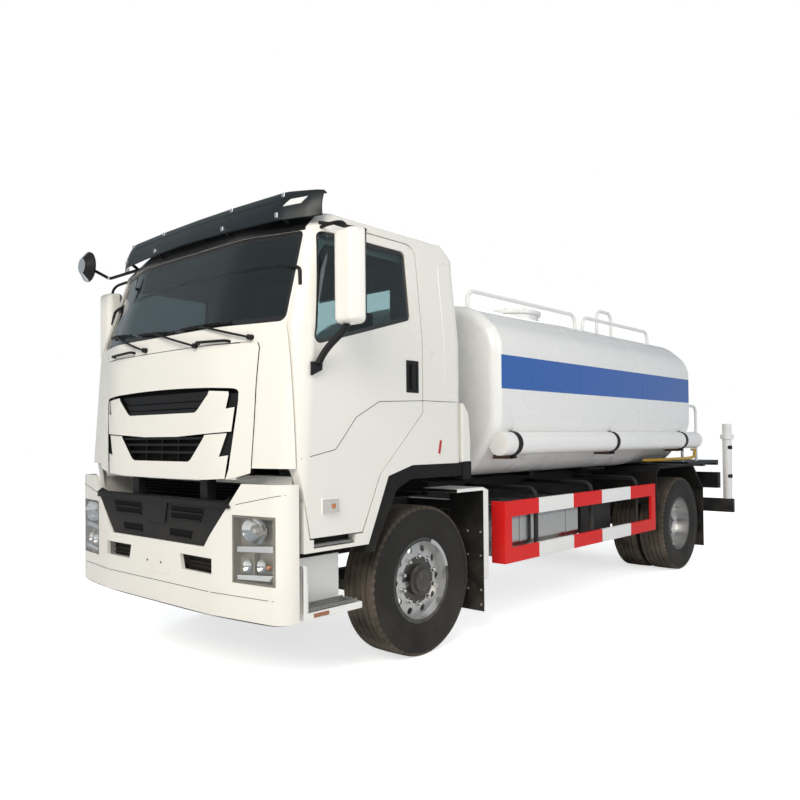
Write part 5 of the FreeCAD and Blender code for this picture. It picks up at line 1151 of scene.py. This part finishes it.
door_parts = [
    (side_block(-0.249, -0.123, 1.824, 2.042, 0.004, 0.005, 0.0044), trim_plastic),
    # The dish is a raised block; its deeper, duller black is painted shade for the recess behind the handle.
    (side_block(-0.226, -0.146, 1.85, 2.016, 0.0, 0.007, 0.0035), black_and_painted_shade),
    (side_block(-0.205, -0.167, 1.845, 2.02, 0.0, 0.020, 0.009), trim_plastic),
]
deflector = [side_spot(aft(y), z, 0.012) for y, z in ((-0.93, 2.845), (-0.74, 2.862), (-0.55, 2.872))]
door_parts.append((bar(deflector, 0.012), trim_plastic))
for side in ("left", "right"):
    piece("door_fittings_" + side, for_side(side, door_parts), body_of["door_" + side])
marker_lens = side_block(-1.009, -0.893, 1.074, 1.155, 0.004, 0.026, 0.008)
marker_bulb = rod(side_spot(aft(-0.935), 1.114, 0.014), 0.015, 0.02, "X", 16, 0.005)
marker_base = side_block(-1.018, -0.884, 1.066, 1.163, 0.004, 0.006, 0.0045)
pillar_grip = bar([side_spot(aft(-1.095), 2.44, 0.004), side_spot(aft(-1.093), 2.47, 0.016),
                   side_spot(aft(-1.073), 2.60, 0.016), side_spot(aft(-1.071), 2.63, 0.004)], 0.011)
MARK = ((0.085, 1.408), (0.108, 1.404), (0.128, 1.498), (0.104, 1.502))
mark = laid_on([(0, aft(y), z) for y, z in MARK], 2, 4, cab_side, INWARD, 0.0015, 0.002)
CLADDING = [(-1.163, 1.402), (-0.902, 1.452), (-0.847, 1.509), (-0.722, 1.651), (-0.511, 1.755),
            (-0.071, 1.774), (0.375, 1.775)]
QUARTER = [(0.165, 1.90), (0.165, 2.72), (0.185, 2.77), (0.2475, 2.79), (0.31, 2.77), (0.33, 2.72),
           (0.33, 1.90), (0.31, 1.85), (0.2475, 1.83), (0.185, 1.85), (0.165, 1.90)]


def side_line(points, radius, lift):
    """A thin line laid along the cab's side through (y, z) spots."""
    line = []
    for (y0, z0), (y1, z1) in zip(points, points[1:]):
        count = max(1, round(math.hypot(y1 - y0, z1 - z0) / 0.06))
        line += [side_spot(aft(y0 + (y1 - y0) * k / count), z0 + (z1 - z0) * k / count, lift)
                 for k in range(count)]
    line.append(side_spot(aft(points[-1][0]), points[-1][1], lift))
    return bar(line, radius, smooth=False, sides=2)


FLARE = ((0.375, 1.772), (0.40, 1.762), (0.45, 1.69), (0.47, 1.50), (0.47, 1.33), (0.375, 1.33))
FLARE_EDGE = ((0.375, 1.345), (0.478, 1.345), (0.478, 1.215), (0.375, 1.215))
flare = slab([(1.185, aft(y), z) for y, z in FLARE], (0.052, 0, 0), 0.006, 3)
flare_edge = slab([(1.17, aft(y), z) for y, z in FLARE_EDGE], (0.070, 0, 0), 0.006, 2)
# The cladding's edge is a thin black line of painted shade, sunk a little into the skin.
flank = both([(side_line(CLADDING, 0.0022, -0.0006), black_and_painted_shade),
              (side_line(QUARTER, 0.0035, -0.0012), cab_paint), (flare, cab_paint),
              (flare_edge, liner_rubber), (marker_base, plain_white), (marker_lens, lamp_glass),
              (marker_bulb, amber), (pillar_grip, trim_plastic), (mark, red_lens)])
piece("cab_side_fittings", flank, body_of["cab_shell"])
print("cab side fittings:", len(flank) + 2 * len(door_parts), "shapes")

# %% [markdown]
# The door mirrors are deep white shells with black backs on black arms. The shell starts as
# a cube: its corners are bevelled round, and its rear face is inset and pushed in for glass.

# %% Door mirrors
SHELL_X, SHELL_WIDTH, SHELL_DEPTH = 1.335, 0.2, 0.13
SHELL_Z = (2.185, 2.75)
mirror_y = aft(-0.96)


def mirror_shell():
    """The white front half and the black rear half with the glass let in."""
    bm = bmesh.new()
    bmesh.ops.create_cube(bm, size=1.0)
    bmesh.ops.scale(bm, vec=(SHELL_WIDTH, SHELL_DEPTH, SHELL_Z[1] - SHELL_Z[0]), verts=bm.verts)
    for v in bm.verts:
        if v.co.y < 0:
            v.co.x *= 0.86
            v.co.z *= 0.965
    upright_edges = [e for e in bm.edges if abs((e.verts[0].co - e.verts[1].co).z) > 0.3]
    rounded(bm, upright_edges, 0.045, 6)
    rims = [e for e in bm.edges if len(e.link_faces) == 2 and e.calc_face_angle(0) > math.radians(50)]
    rounded(bm, rims, 0.03, 5)
    bmesh.ops.translate(bm, vec=(SHELL_X + SHELL_WIDTH / 2, mirror_y, sum(SHELL_Z) / 2), verts=bm.verts)
    back = [f for f in bm.faces if f.normal.y > 0.98]
    bmesh.ops.inset_region(bm, faces=back, thickness=0.01, depth=0.0)
    bmesh.ops.inset_region(bm, faces=back, thickness=0.003, depth=-0.008)
    return bm


def mirror_coat(face):
    middle = face.calc_center_median()
    if face.normal.y > 0.9 and middle.y > mirror_y + SHELL_DEPTH / 2 - 0.012:
        return mirror_silver
    return cab_paint if middle.y < mirror_y + SHELL_DEPTH * 0.22 else trim_plastic


shell = mirror_shell()
foot_spot = side_spot(aft(-1.06), 1.93)
arm_start = Vector((SHELL_X + SHELL_WIDTH * 0.36, mirror_y, SHELL_Z[0] + 0.01))
arm_line = [arm_start, arm_start + Vector((-0.01, -0.005, -0.04)),
            Vector((foot_spot.x + 0.045, aft(-1.03), 2.04)), Vector((foot_spot.x + 0.022, aft(-1.055), 1.96))]
stay_start = Vector((SHELL_X + SHELL_WIDTH * 0.36, mirror_y, SHELL_Z[1] - 0.01))
stay_end = side_spot(aft(-0.93), 2.815)
stay_line = [stay_start, stay_start + Vector((0, 0, 0.06)), Vector((stay_end.x + 0.05, aft(-0.935), 2.822)),
             stay_end]
FOOT = ((-1.102, 1.888), (-1.022, 1.925), (-1.018, 1.972), (-1.10, 1.972))
foot_shape = slab([(foot_spot.x + 0.0015, aft(y), z) for y, z in FOOT], (0.021, 0, 0), 0.004)
mirror_parts = [(shell, mirror_coat), (bar(arm_line, 0.021, sides=5), trim_plastic),
                (foot_shape, trim_plastic), (bar(stay_line, 0.011), trim_plastic)]
for side in ("left", "right"):
    name = "mirror_" + side
    piece("door_mirror_" + side, for_side(side, mirror_parts), body_of[name], (name,))
print("mirror shells", SHELL_WIDTH, "m wide")

# %% [markdown]
# Both steps have metal treads with rows of small teeth that grip a boot. The lower step
# also has side panels, a post and an amber reflector under its lip.

# %% Step treads and mudflap bolts


def toothed_plate(x0, x1, y0, y1, z, rows, teeth):
    """A flat tread with rows of short teeth standing on it."""
    shapes = [block((x0, y0, z - 0.004), (x1, y1, z), 0.001, 1)]
    pitch = (y1 - y0) / teeth
    for row in range(rows):
        x = x0 + (x1 - x0) * (row + 0.6) / rows
        for tooth in range(teeth):
            y = y0 + pitch * (tooth + 0.5)
            shapes.append(block((x - 0.008, y - pitch * 0.28, z - 0.001),
                                (x + 0.008, y + pitch * 0.28, z + 0.010)))
    return joined(shapes)


step_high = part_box("entry_steps")[1]
upper_tread = toothed_plate(1.168, 1.226, aft(-1.080), aft(-0.735), 0.884, 2, 24)
lower_tread = toothed_plate(1.06, 1.222, aft(-1.12), aft(-0.70), 0.512, 4, 26)
reflector = block((step_high.x - 0.001, aft(-1.075), 0.468), (step_high.x + 0.004, aft(-0.955), 0.492),
                  0.0015)
step_panel = block((1.035, aft(-1.12), 0.505), (1.047, aft(-0.70), 0.79), 0.003)
POST = ((-1.15, 0.50), (-1.112, 0.50), (-1.112, 0.66), (-1.125, 0.70), (-1.125, 0.775), (-1.15, 0.785))
step_post = slab([(1.215, aft(y), z) for y, z in POST], (0.012, 0, 0), 0.003)
inner_shield = block((0.60, aft(-1.12), 0.43), (0.618, aft(-0.68), 0.98), 0.003)
step_sides = both([(step_panel, plain_white), (step_post, plain_white), (inner_shield, liner_rubber)])
piece("step_sides", step_sides, body_of["entry_steps"])
piece("upper_treads", both([(upper_tread, tread_metal)]), body_of["cab_shell"])
lower_parts = both([(lower_tread, tread_metal), (reflector, reflector_amber)])
piece("lower_treads", lower_parts, body_of["entry_steps"])
bolts = []
for x, z in ((0.96, 0.36), (1.08, 0.36), (1.20, 0.36), (1.20, 0.25), (0.96, 0.25), (1.08, 0.62), (1.20, 0.62),
             (1.08, 0.80), (1.20, 0.80)):
    y = aft(0.635) - 0.002 if z > 0.445 else aft(0.635)
    bolts.append(rod((x, y, z), 0.010, 0.008, "Y", 10, 0.003))
piece("mudflap_bolts", both([(joined(bolts), tread_metal)]), body_of["front_mudguards"])
print("treads and", len(bolts) * 2, "bolts")

# %% [markdown]
# The sun visor is a smoked plastic sheet, bowed across the cab and folded back along its
# top. A flat grid is bent by two edge lines, lower and upper, each a table of places across
# the truck, and then thickened. It stands on short arms, with bright clips and marker lamps.

# %% Sun visor
VISOR_LOW = ((0.0, -1.165, 2.872), (0.42, -1.152, 2.870), (0.92, -1.105, 2.866), (1.15, -0.985, 2.878),
             (1.172, -0.94, 2.89))
VISOR_TOP = ((0.0, -1.046, 3.071), (0.42, -1.040, 3.070), (0.93, -1.018, 3.066), (1.15, -0.935, 3.052),
             (1.172, -0.92, 3.045))
VISOR_REAR_Y, FOLD, VISOR_SHEET = -0.900, 0.74, 0.008
VISOR_BULGE, FOLD_DROP = 0.012, 0.012


def edge_spot(table, x):
    """The edge's y and z at a place across the truck."""
    x = min(abs(x), table[-1][0])
    for (x0, y0, z0), (x1, y1, z1) in zip(table, table[1:]):
        if x <= x1:
            t = (x - x0) / (x1 - x0)
            return y0 + (y1 - y0) * t, z0 + (z1 - z0) * t


visor = bmesh.new()
bmesh.ops.create_grid(visor, x_segments=60, y_segments=16, size=0.5)
for v in visor.verts:
    x, rise = v.co.x * 2 * VISOR_TOP[-1][0], v.co.y + 0.5
    (low_y, low_z), (top_y, top_z) = edge_spot(VISOR_LOW, x), edge_spot(VISOR_TOP, x)
    t = min(rise / FOLD, 1.0)
    bulge = VISOR_BULGE * math.sin(math.pi * t)
    y, z = low_y + (top_y - low_y) * t - bulge, low_z + (top_z - low_z) * t
    if rise > FOLD:
        back = (rise - FOLD) / (1 - FOLD)
        y, z = top_y + (VISOR_REAR_Y - top_y) * back, top_z - FOLD_DROP * back * back
    v.co = (x, aft(y), z)
bmesh.ops.smooth_vert(visor, verts=[v for v in visor.verts if not v.is_boundary], factor=0.5, use_axis_y=True,
                      use_axis_z=True)
visor.normal_update()
if sum(face.normal.y for face in visor.faces) > 0:
    bmesh.ops.reverse_faces(visor, faces=visor.faces)
visor_face = BVHTree.FromBMesh(visor)
push_out(visor, visor.faces[:], (0, VISOR_SHEET, -VISOR_SHEET * 0.6))
arms = []
for x in (0.42, 0.92):
    hold, root = front_spot(x, 2.91, -0.012, visor_face), front_spot(x, 2.862, -0.01)
    arms += both([(bar([hold, (hold + root) / 2 + Vector((0, 0, 0.01)), root], 0.012), trim_plastic)])
    hold = Vector((x, aft(-0.93), edge_spot(VISOR_TOP, x)[1] - 0.012))
    rear_line = [hold, hold + Vector((0, 0.02, -0.05)), hold + Vector((0, 0.10, -0.11))]
    arms += both([(bar(rear_line, 0.012), trim_plastic)])
piece("visor_sheet", [(visor, visor_plastic)] + arms, body_of["sun_visor"], ("sun_visor",))
visor_parts = []
for x in (0.42, 0.92):
    for z in (2.900, 3.035):
        spot = front_spot(x, z, tree=visor_face)
        clip = block(spot + Vector((-0.012, -0.005, -0.018)), spot + Vector((0.014, 0.006, 0.018)), 0.004)
        visor_parts += both([(clip, chrome)])
crease = line_across(10, 3.006, 3.012, visor_face, 0.002, 0.004)
marker_corners = ((0.955, 2.955), (1.065, 2.965), (1.095, 3.008), (0.99, 3.000))
marker = front_plate(marker_corners, 8, 3, 0.004, 0.008, visor_face)
visor_parts += both([(marker, clear_lens)]) + [(crease, visor_plastic)]
piece("visor_trim", visor_parts, body_of["sun_visor"])
print("visor trim:", len(visor_parts), "shapes")

# %% [markdown]
# The tank's ends are welded to its barrel, and the barrel's rings to each other. A weld is a
# low bead all the way round: the CAD tank cut by two planes to a narrow belt and thickened.
# The hatch gets its ring of clamps, a low dome and a grip.

# %% Tank welds and hatch


def belt(node_name, y0, y1, proud):
    """A narrow band round a node, standing a little proud of it."""
    bm = cad_copy(node_name)
    slice_at(bm, (0, y0, 0), (0, 1, 0), clear_inner=True)
    slice_at(bm, (0, y1, 0), (0, 1, 0), clear_outer=True)
    caps = [f for f in bm.faces if abs(f.normal.y) > 0.9]
    bmesh.ops.delete(bm, geom=caps, context="FACES")
    bm.normal_update()
    for v in bm.verts:
        v.co += v.normal * proud
    bmesh.ops.solidify(bm, geom=list(bm.faces), thickness=proud + 0.002)
    bmesh.ops.recalc_face_normals(bm, faces=bm.faces)
    return bm


tank_low, tank_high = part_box("tank_shell")
welds = [belt("tank_shell", y, y + 0.007, 0.0022) for y in (tank_low.y + 0.0605, tank_high.y - 0.0675)]
welds += [belt("tank_shell", y, y + 0.004, 0.0010) for y in (aft(2.19), aft(3.53))]
piece("tank_welds", [(joined(welds), tank_paint)], body_of["tank_shell"])
lid_low, lid_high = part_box("manhole_lid")
centre = (lid_low + lid_high) / 2
CLAMPS, CLAMP_RING = 8, 0.262
clamps = []
for k in range(CLAMPS):
    angle = math.tau * (k + 0.5) / CLAMPS
    spot = (centre.x + CLAMP_RING * math.cos(angle), centre.y + CLAMP_RING * math.sin(angle),
            lid_high.z + 0.006)
    clamps.append(rod(spot, 0.016, 0.016, "Z", 6, 0.003))
DOME = [(-0.004, 0.0), (-0.004, 0.2), (0.004, 0.19), (0.006, 0.0)]
dome = lathe(DOME, (centre.x, centre.y, lid_high.z), "Z", 40)
grip_line = [(centre.x + x, centre.y, lid_high.z + rise) for x, rise in
             ((-0.09, 0), (-0.09, 0.035), (0.09, 0.035), (0.09, 0))]
hatch_grip = bar(grip_line, 0.008, False)
piece("hatch_fittings", [(joined(clamps), tread_metal), (dome, plain_white), (hatch_grip, plain_white)],
      body_of["manhole_lid"])
print("tank welds and hatch")

# %% [markdown]
# The suction hoses travel in capped tubes along the tank. Each cap is a spun disc with a
# raised rim, and brown box brackets carry the black bands.

# %% Hose tube caps and brackets
tube_low, tube_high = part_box("hose_tubes")
TUBE_RADIUS = (tube_high.z - tube_low.z) / 2
TUBE_X, TUBE_Z = tube_high.x - TUBE_RADIUS, (tube_high.z + tube_low.z) / 2
CAP_SCALE = TUBE_RADIUS / 0.0805
CAP = [(-0.010, 0.0), (-0.010, 0.055), (-0.004, 0.062), (-0.006, 0.070), (-0.006, 0.0795), (0.028, 0.0825),
       (0.028, 0.0802)]
tube_parts = []
for y, turn in ((tube_low.y, 1), (tube_high.y, -1)):
    profile = [(turn * place, radius * CAP_SCALE) for place, radius in CAP]
    cap = lathe(profile, (TUBE_X, y + turn * 0.011, TUBE_Z), "Y", 40)
    tube_parts += both([(cap, plain_white)])
piece("hose_caps", tube_parts, body_of["hose_tubes"])
brackets = []
for y in (1.05, 2.79, 4.53):
    y0 = aft(y)
    base = TUBE_Z - TUBE_RADIUS
    box = block((1.03, y0 + 0.004, base - 0.03), (TUBE_X, y0 + 0.056, base + 0.012), 0.003)
    box_end = block((TUBE_X, y0 + 0.008, base - 0.026), (TUBE_X + 0.04, y0 + 0.052, base + 0.008), 0.002)
    bolt = rod((TUBE_X + 0.01, y0 + 0.03, TUBE_Z + TUBE_RADIUS + 0.004), 0.008, 0.02, "Z", 8, 0.002)
    brackets += both([(box, brown_paint), (box_end, trim_plastic), (bolt, tread_metal)])
piece("hose_brackets", brackets, body_of["hose_bands"])
print("4 caps and", len(brackets) // 3, "brackets")

# %% [markdown]
# Seats are the truck's soft pieces. Each pad starts a little small, is remeshed evenly, and
# is blown up by Cloth with gravity off, so that its sides pull in between the corners. How
# far a point may move is capped, and the sewn channels are pressed in afterwards.

# %% Padded seats
PAD_VOXEL, PAD_PRESSURE, PAD_CAP, PAD_FRAMES, PAD_SMOOTHINGS = 0.008, 4.0, 0.022, 20, 3
CHANNELS, CHANNEL_WIDTH, CHANNEL_DEPTH = (-0.14, 0.0, 0.14), 0.009, 0.007
seats_low, seats_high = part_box("seats")
SEAT_X = 0.62


def swollen(shape):
    """A pad blown up by Cloth, each point's move capped."""
    mesh = bpy.data.meshes.new("pad")
    shape.to_mesh(mesh)
    pad = bpy.data.objects.new("pad", mesh)
    scene.collection.objects.link(pad)
    remesh = pad.modifiers.new("remesh", "REMESH")
    remesh.mode = "VOXEL"
    remesh.voxel_size = PAD_VOXEL
    even = bpy.data.meshes.new_from_object(pad.evaluated_get(bpy.context.evaluated_depsgraph_get()))
    pad.modifiers.clear()
    pad.data = even
    start = [v.co.copy() for v in even.vertices]
    cloth = pad.modifiers.new("cloth", "CLOTH")
    cloth.settings.use_pressure = True
    cloth.settings.uniform_pressure_force = PAD_PRESSURE
    cloth.settings.effector_weights.gravity = 0
    for number in range(1, PAD_FRAMES + 1):
        scene.frame_set(number)
    swelled = bpy.data.meshes.new_from_object(pad.evaluated_get(bpy.context.evaluated_depsgraph_get()))
    made = bmesh.new()
    made.from_mesh(swelled)
    for v, was in zip(made.verts, start):
        move = v.co - was
        if move.length > PAD_CAP:
            v.co = was + move * (PAD_CAP / move.length)
    bpy.data.objects.remove(pad)
    scene.frame_set(1)
    for _ in range(PAD_SMOOTHINGS):
        bmesh.ops.smooth_vert(made, verts=made.verts, factor=0.5, use_axis_x=True, use_axis_y=True,
                              use_axis_z=True)
    made.normal_update()
    for v in made.verts:
        if max(v.normal.z, -v.normal.y) > 0.6:
            near = min(abs(v.co.x - SEAT_X - channel) for channel in CHANNELS)
            v.co -= v.normal * CHANNEL_DEPTH * math.exp(-(near / CHANNEL_WIDTH) ** 2)
    return made


pad_shapes = [block((0.405, seats_low.y + 0.03, 1.475), (0.835, seats_low.y + 0.50, 1.565), 0.035, 3),
              block((0.415, seats_high.y - 0.155, 1.62), (0.825, seats_high.y - 0.045, 2.26), 0.035, 3),
              block((0.505, seats_high.y - 0.145, 2.315), (0.735, seats_high.y - 0.055, 2.445), 0.03, 3)]
pads_left = swollen(joined(pad_shapes))
seat_pads = piece("seat_pads", both([(pads_left, seat_cloth)]), body_of["seats"], ("seats",))
pedestal = block((0.43, seats_low.y + 0.08, seats_low.z), (0.81, seats_high.y - 0.10, 1.46), 0.02, 3)
back_frame = block((0.40, seats_high.y - 0.14, 1.43), (0.84, seats_high.y - 0.06, 1.60), 0.02, 3)
seat_base = [(pedestal, trim_plastic), (back_frame, trim_plastic)]
seat_base += [(rod((x, seats_high.y - 0.10, 2.29), 0.007, 0.12, "Z", 10), chrome) for x in (0.57, 0.67)]
piece("seat_bases", both(seat_base), body_of["seats"])
print("2 seats,", len(pads_left.faces), "faces each")

# %% [markdown]
# The rear carries the pipework. A yellow pipe runs under the tank's left side, and dark
# rubber couplings join the upright spray pipes.

# %% Pipework at the rear
pipe_low, pipe_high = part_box("spray_pipes")
pipe_face = skin("spray_pipes")
SPRAY_RADIUS = 0.045
COUPLING = [(-0.024, 0.044), (-0.024, 0.050), (-0.018, 0.053), (0.018, 0.053), (0.024, 0.050), (0.024, 0.044)]
couplings = []
for z in (0.98, 1.36):
    outer = land(pipe_face, (0, (pipe_low.y + pipe_high.y) / 2, z), INWARD)
    couplings.append((lathe(COUPLING, (outer.x - SPRAY_RADIUS, outer.y, z), "Z", 28), trim_plastic))
YELLOW_PIPE = ((1.02, 3.95, 1.25), (1.10, 4.05, 1.25), (1.13, 4.6, 1.25), (1.13, 5.05, 1.25),
               (1.13, 5.18, 1.26), (1.13, 5.20, 1.34), (1.10, 5.3, 1.35), (1.02, 5.4, 1.35))
yellow_line = [(x, aft(y), z) for x, y, z in YELLOW_PIPE]
pipe_parts = both(couplings) + [(bar(yellow_line, 0.018, sides=5), yellow_paint)]
piece("pipework", pipe_parts, body_of["tank_shell"])
print("pipework:", len(pipe_parts), "shapes")

# %% [markdown]
# A deck that people stand on is chequer plate: short raised bars, every second one turned.
# Rays from above find the deck, so bars are left out where nothing lies beneath.

# %% Chequer plate on the rear platform
DOWN = Vector((0, 0, -1))
BAR_HALF, BAR_WIDTH, BAR_HEIGHT, BAR_PITCH = 0.018, 0.003, 0.0018, 0.075
deck_face = skin("rear_platform")
deck_low, deck_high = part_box("rear_platform")
deck_z = land(deck_face, (0, aft(5.3), 0), DOWN).z
ribs = []
rows, columns = int((deck_high.y - aft(4.95)) / BAR_PITCH), int((deck_high.x - deck_low.x) / BAR_PITCH)
for row in range(rows):
    for column in range(columns):
        x, y = deck_low.x + BAR_PITCH * (column + 0.5), aft(4.95) + BAR_PITCH * (row + 0.5)
        hit = deck_face.ray_cast(Vector((x, y, FAR)), DOWN)[0]
        if hit is None or abs(hit.z - deck_z) > 0.001:
            continue
        along = (BAR_HALF, BAR_WIDTH) if (row + column) % 2 else (BAR_WIDTH, BAR_HALF)
        ribs.append(block((x - along[0], y - along[1], deck_z - 0.001),
                          (x + along[0], y + along[1], deck_z + BAR_HEIGHT)))
piece("deck_ribs", [(joined(ribs), frame_paint)], body_of["rear_platform"])
print("deck ribs:", len(ribs))

# %% Finish
print("scene built")
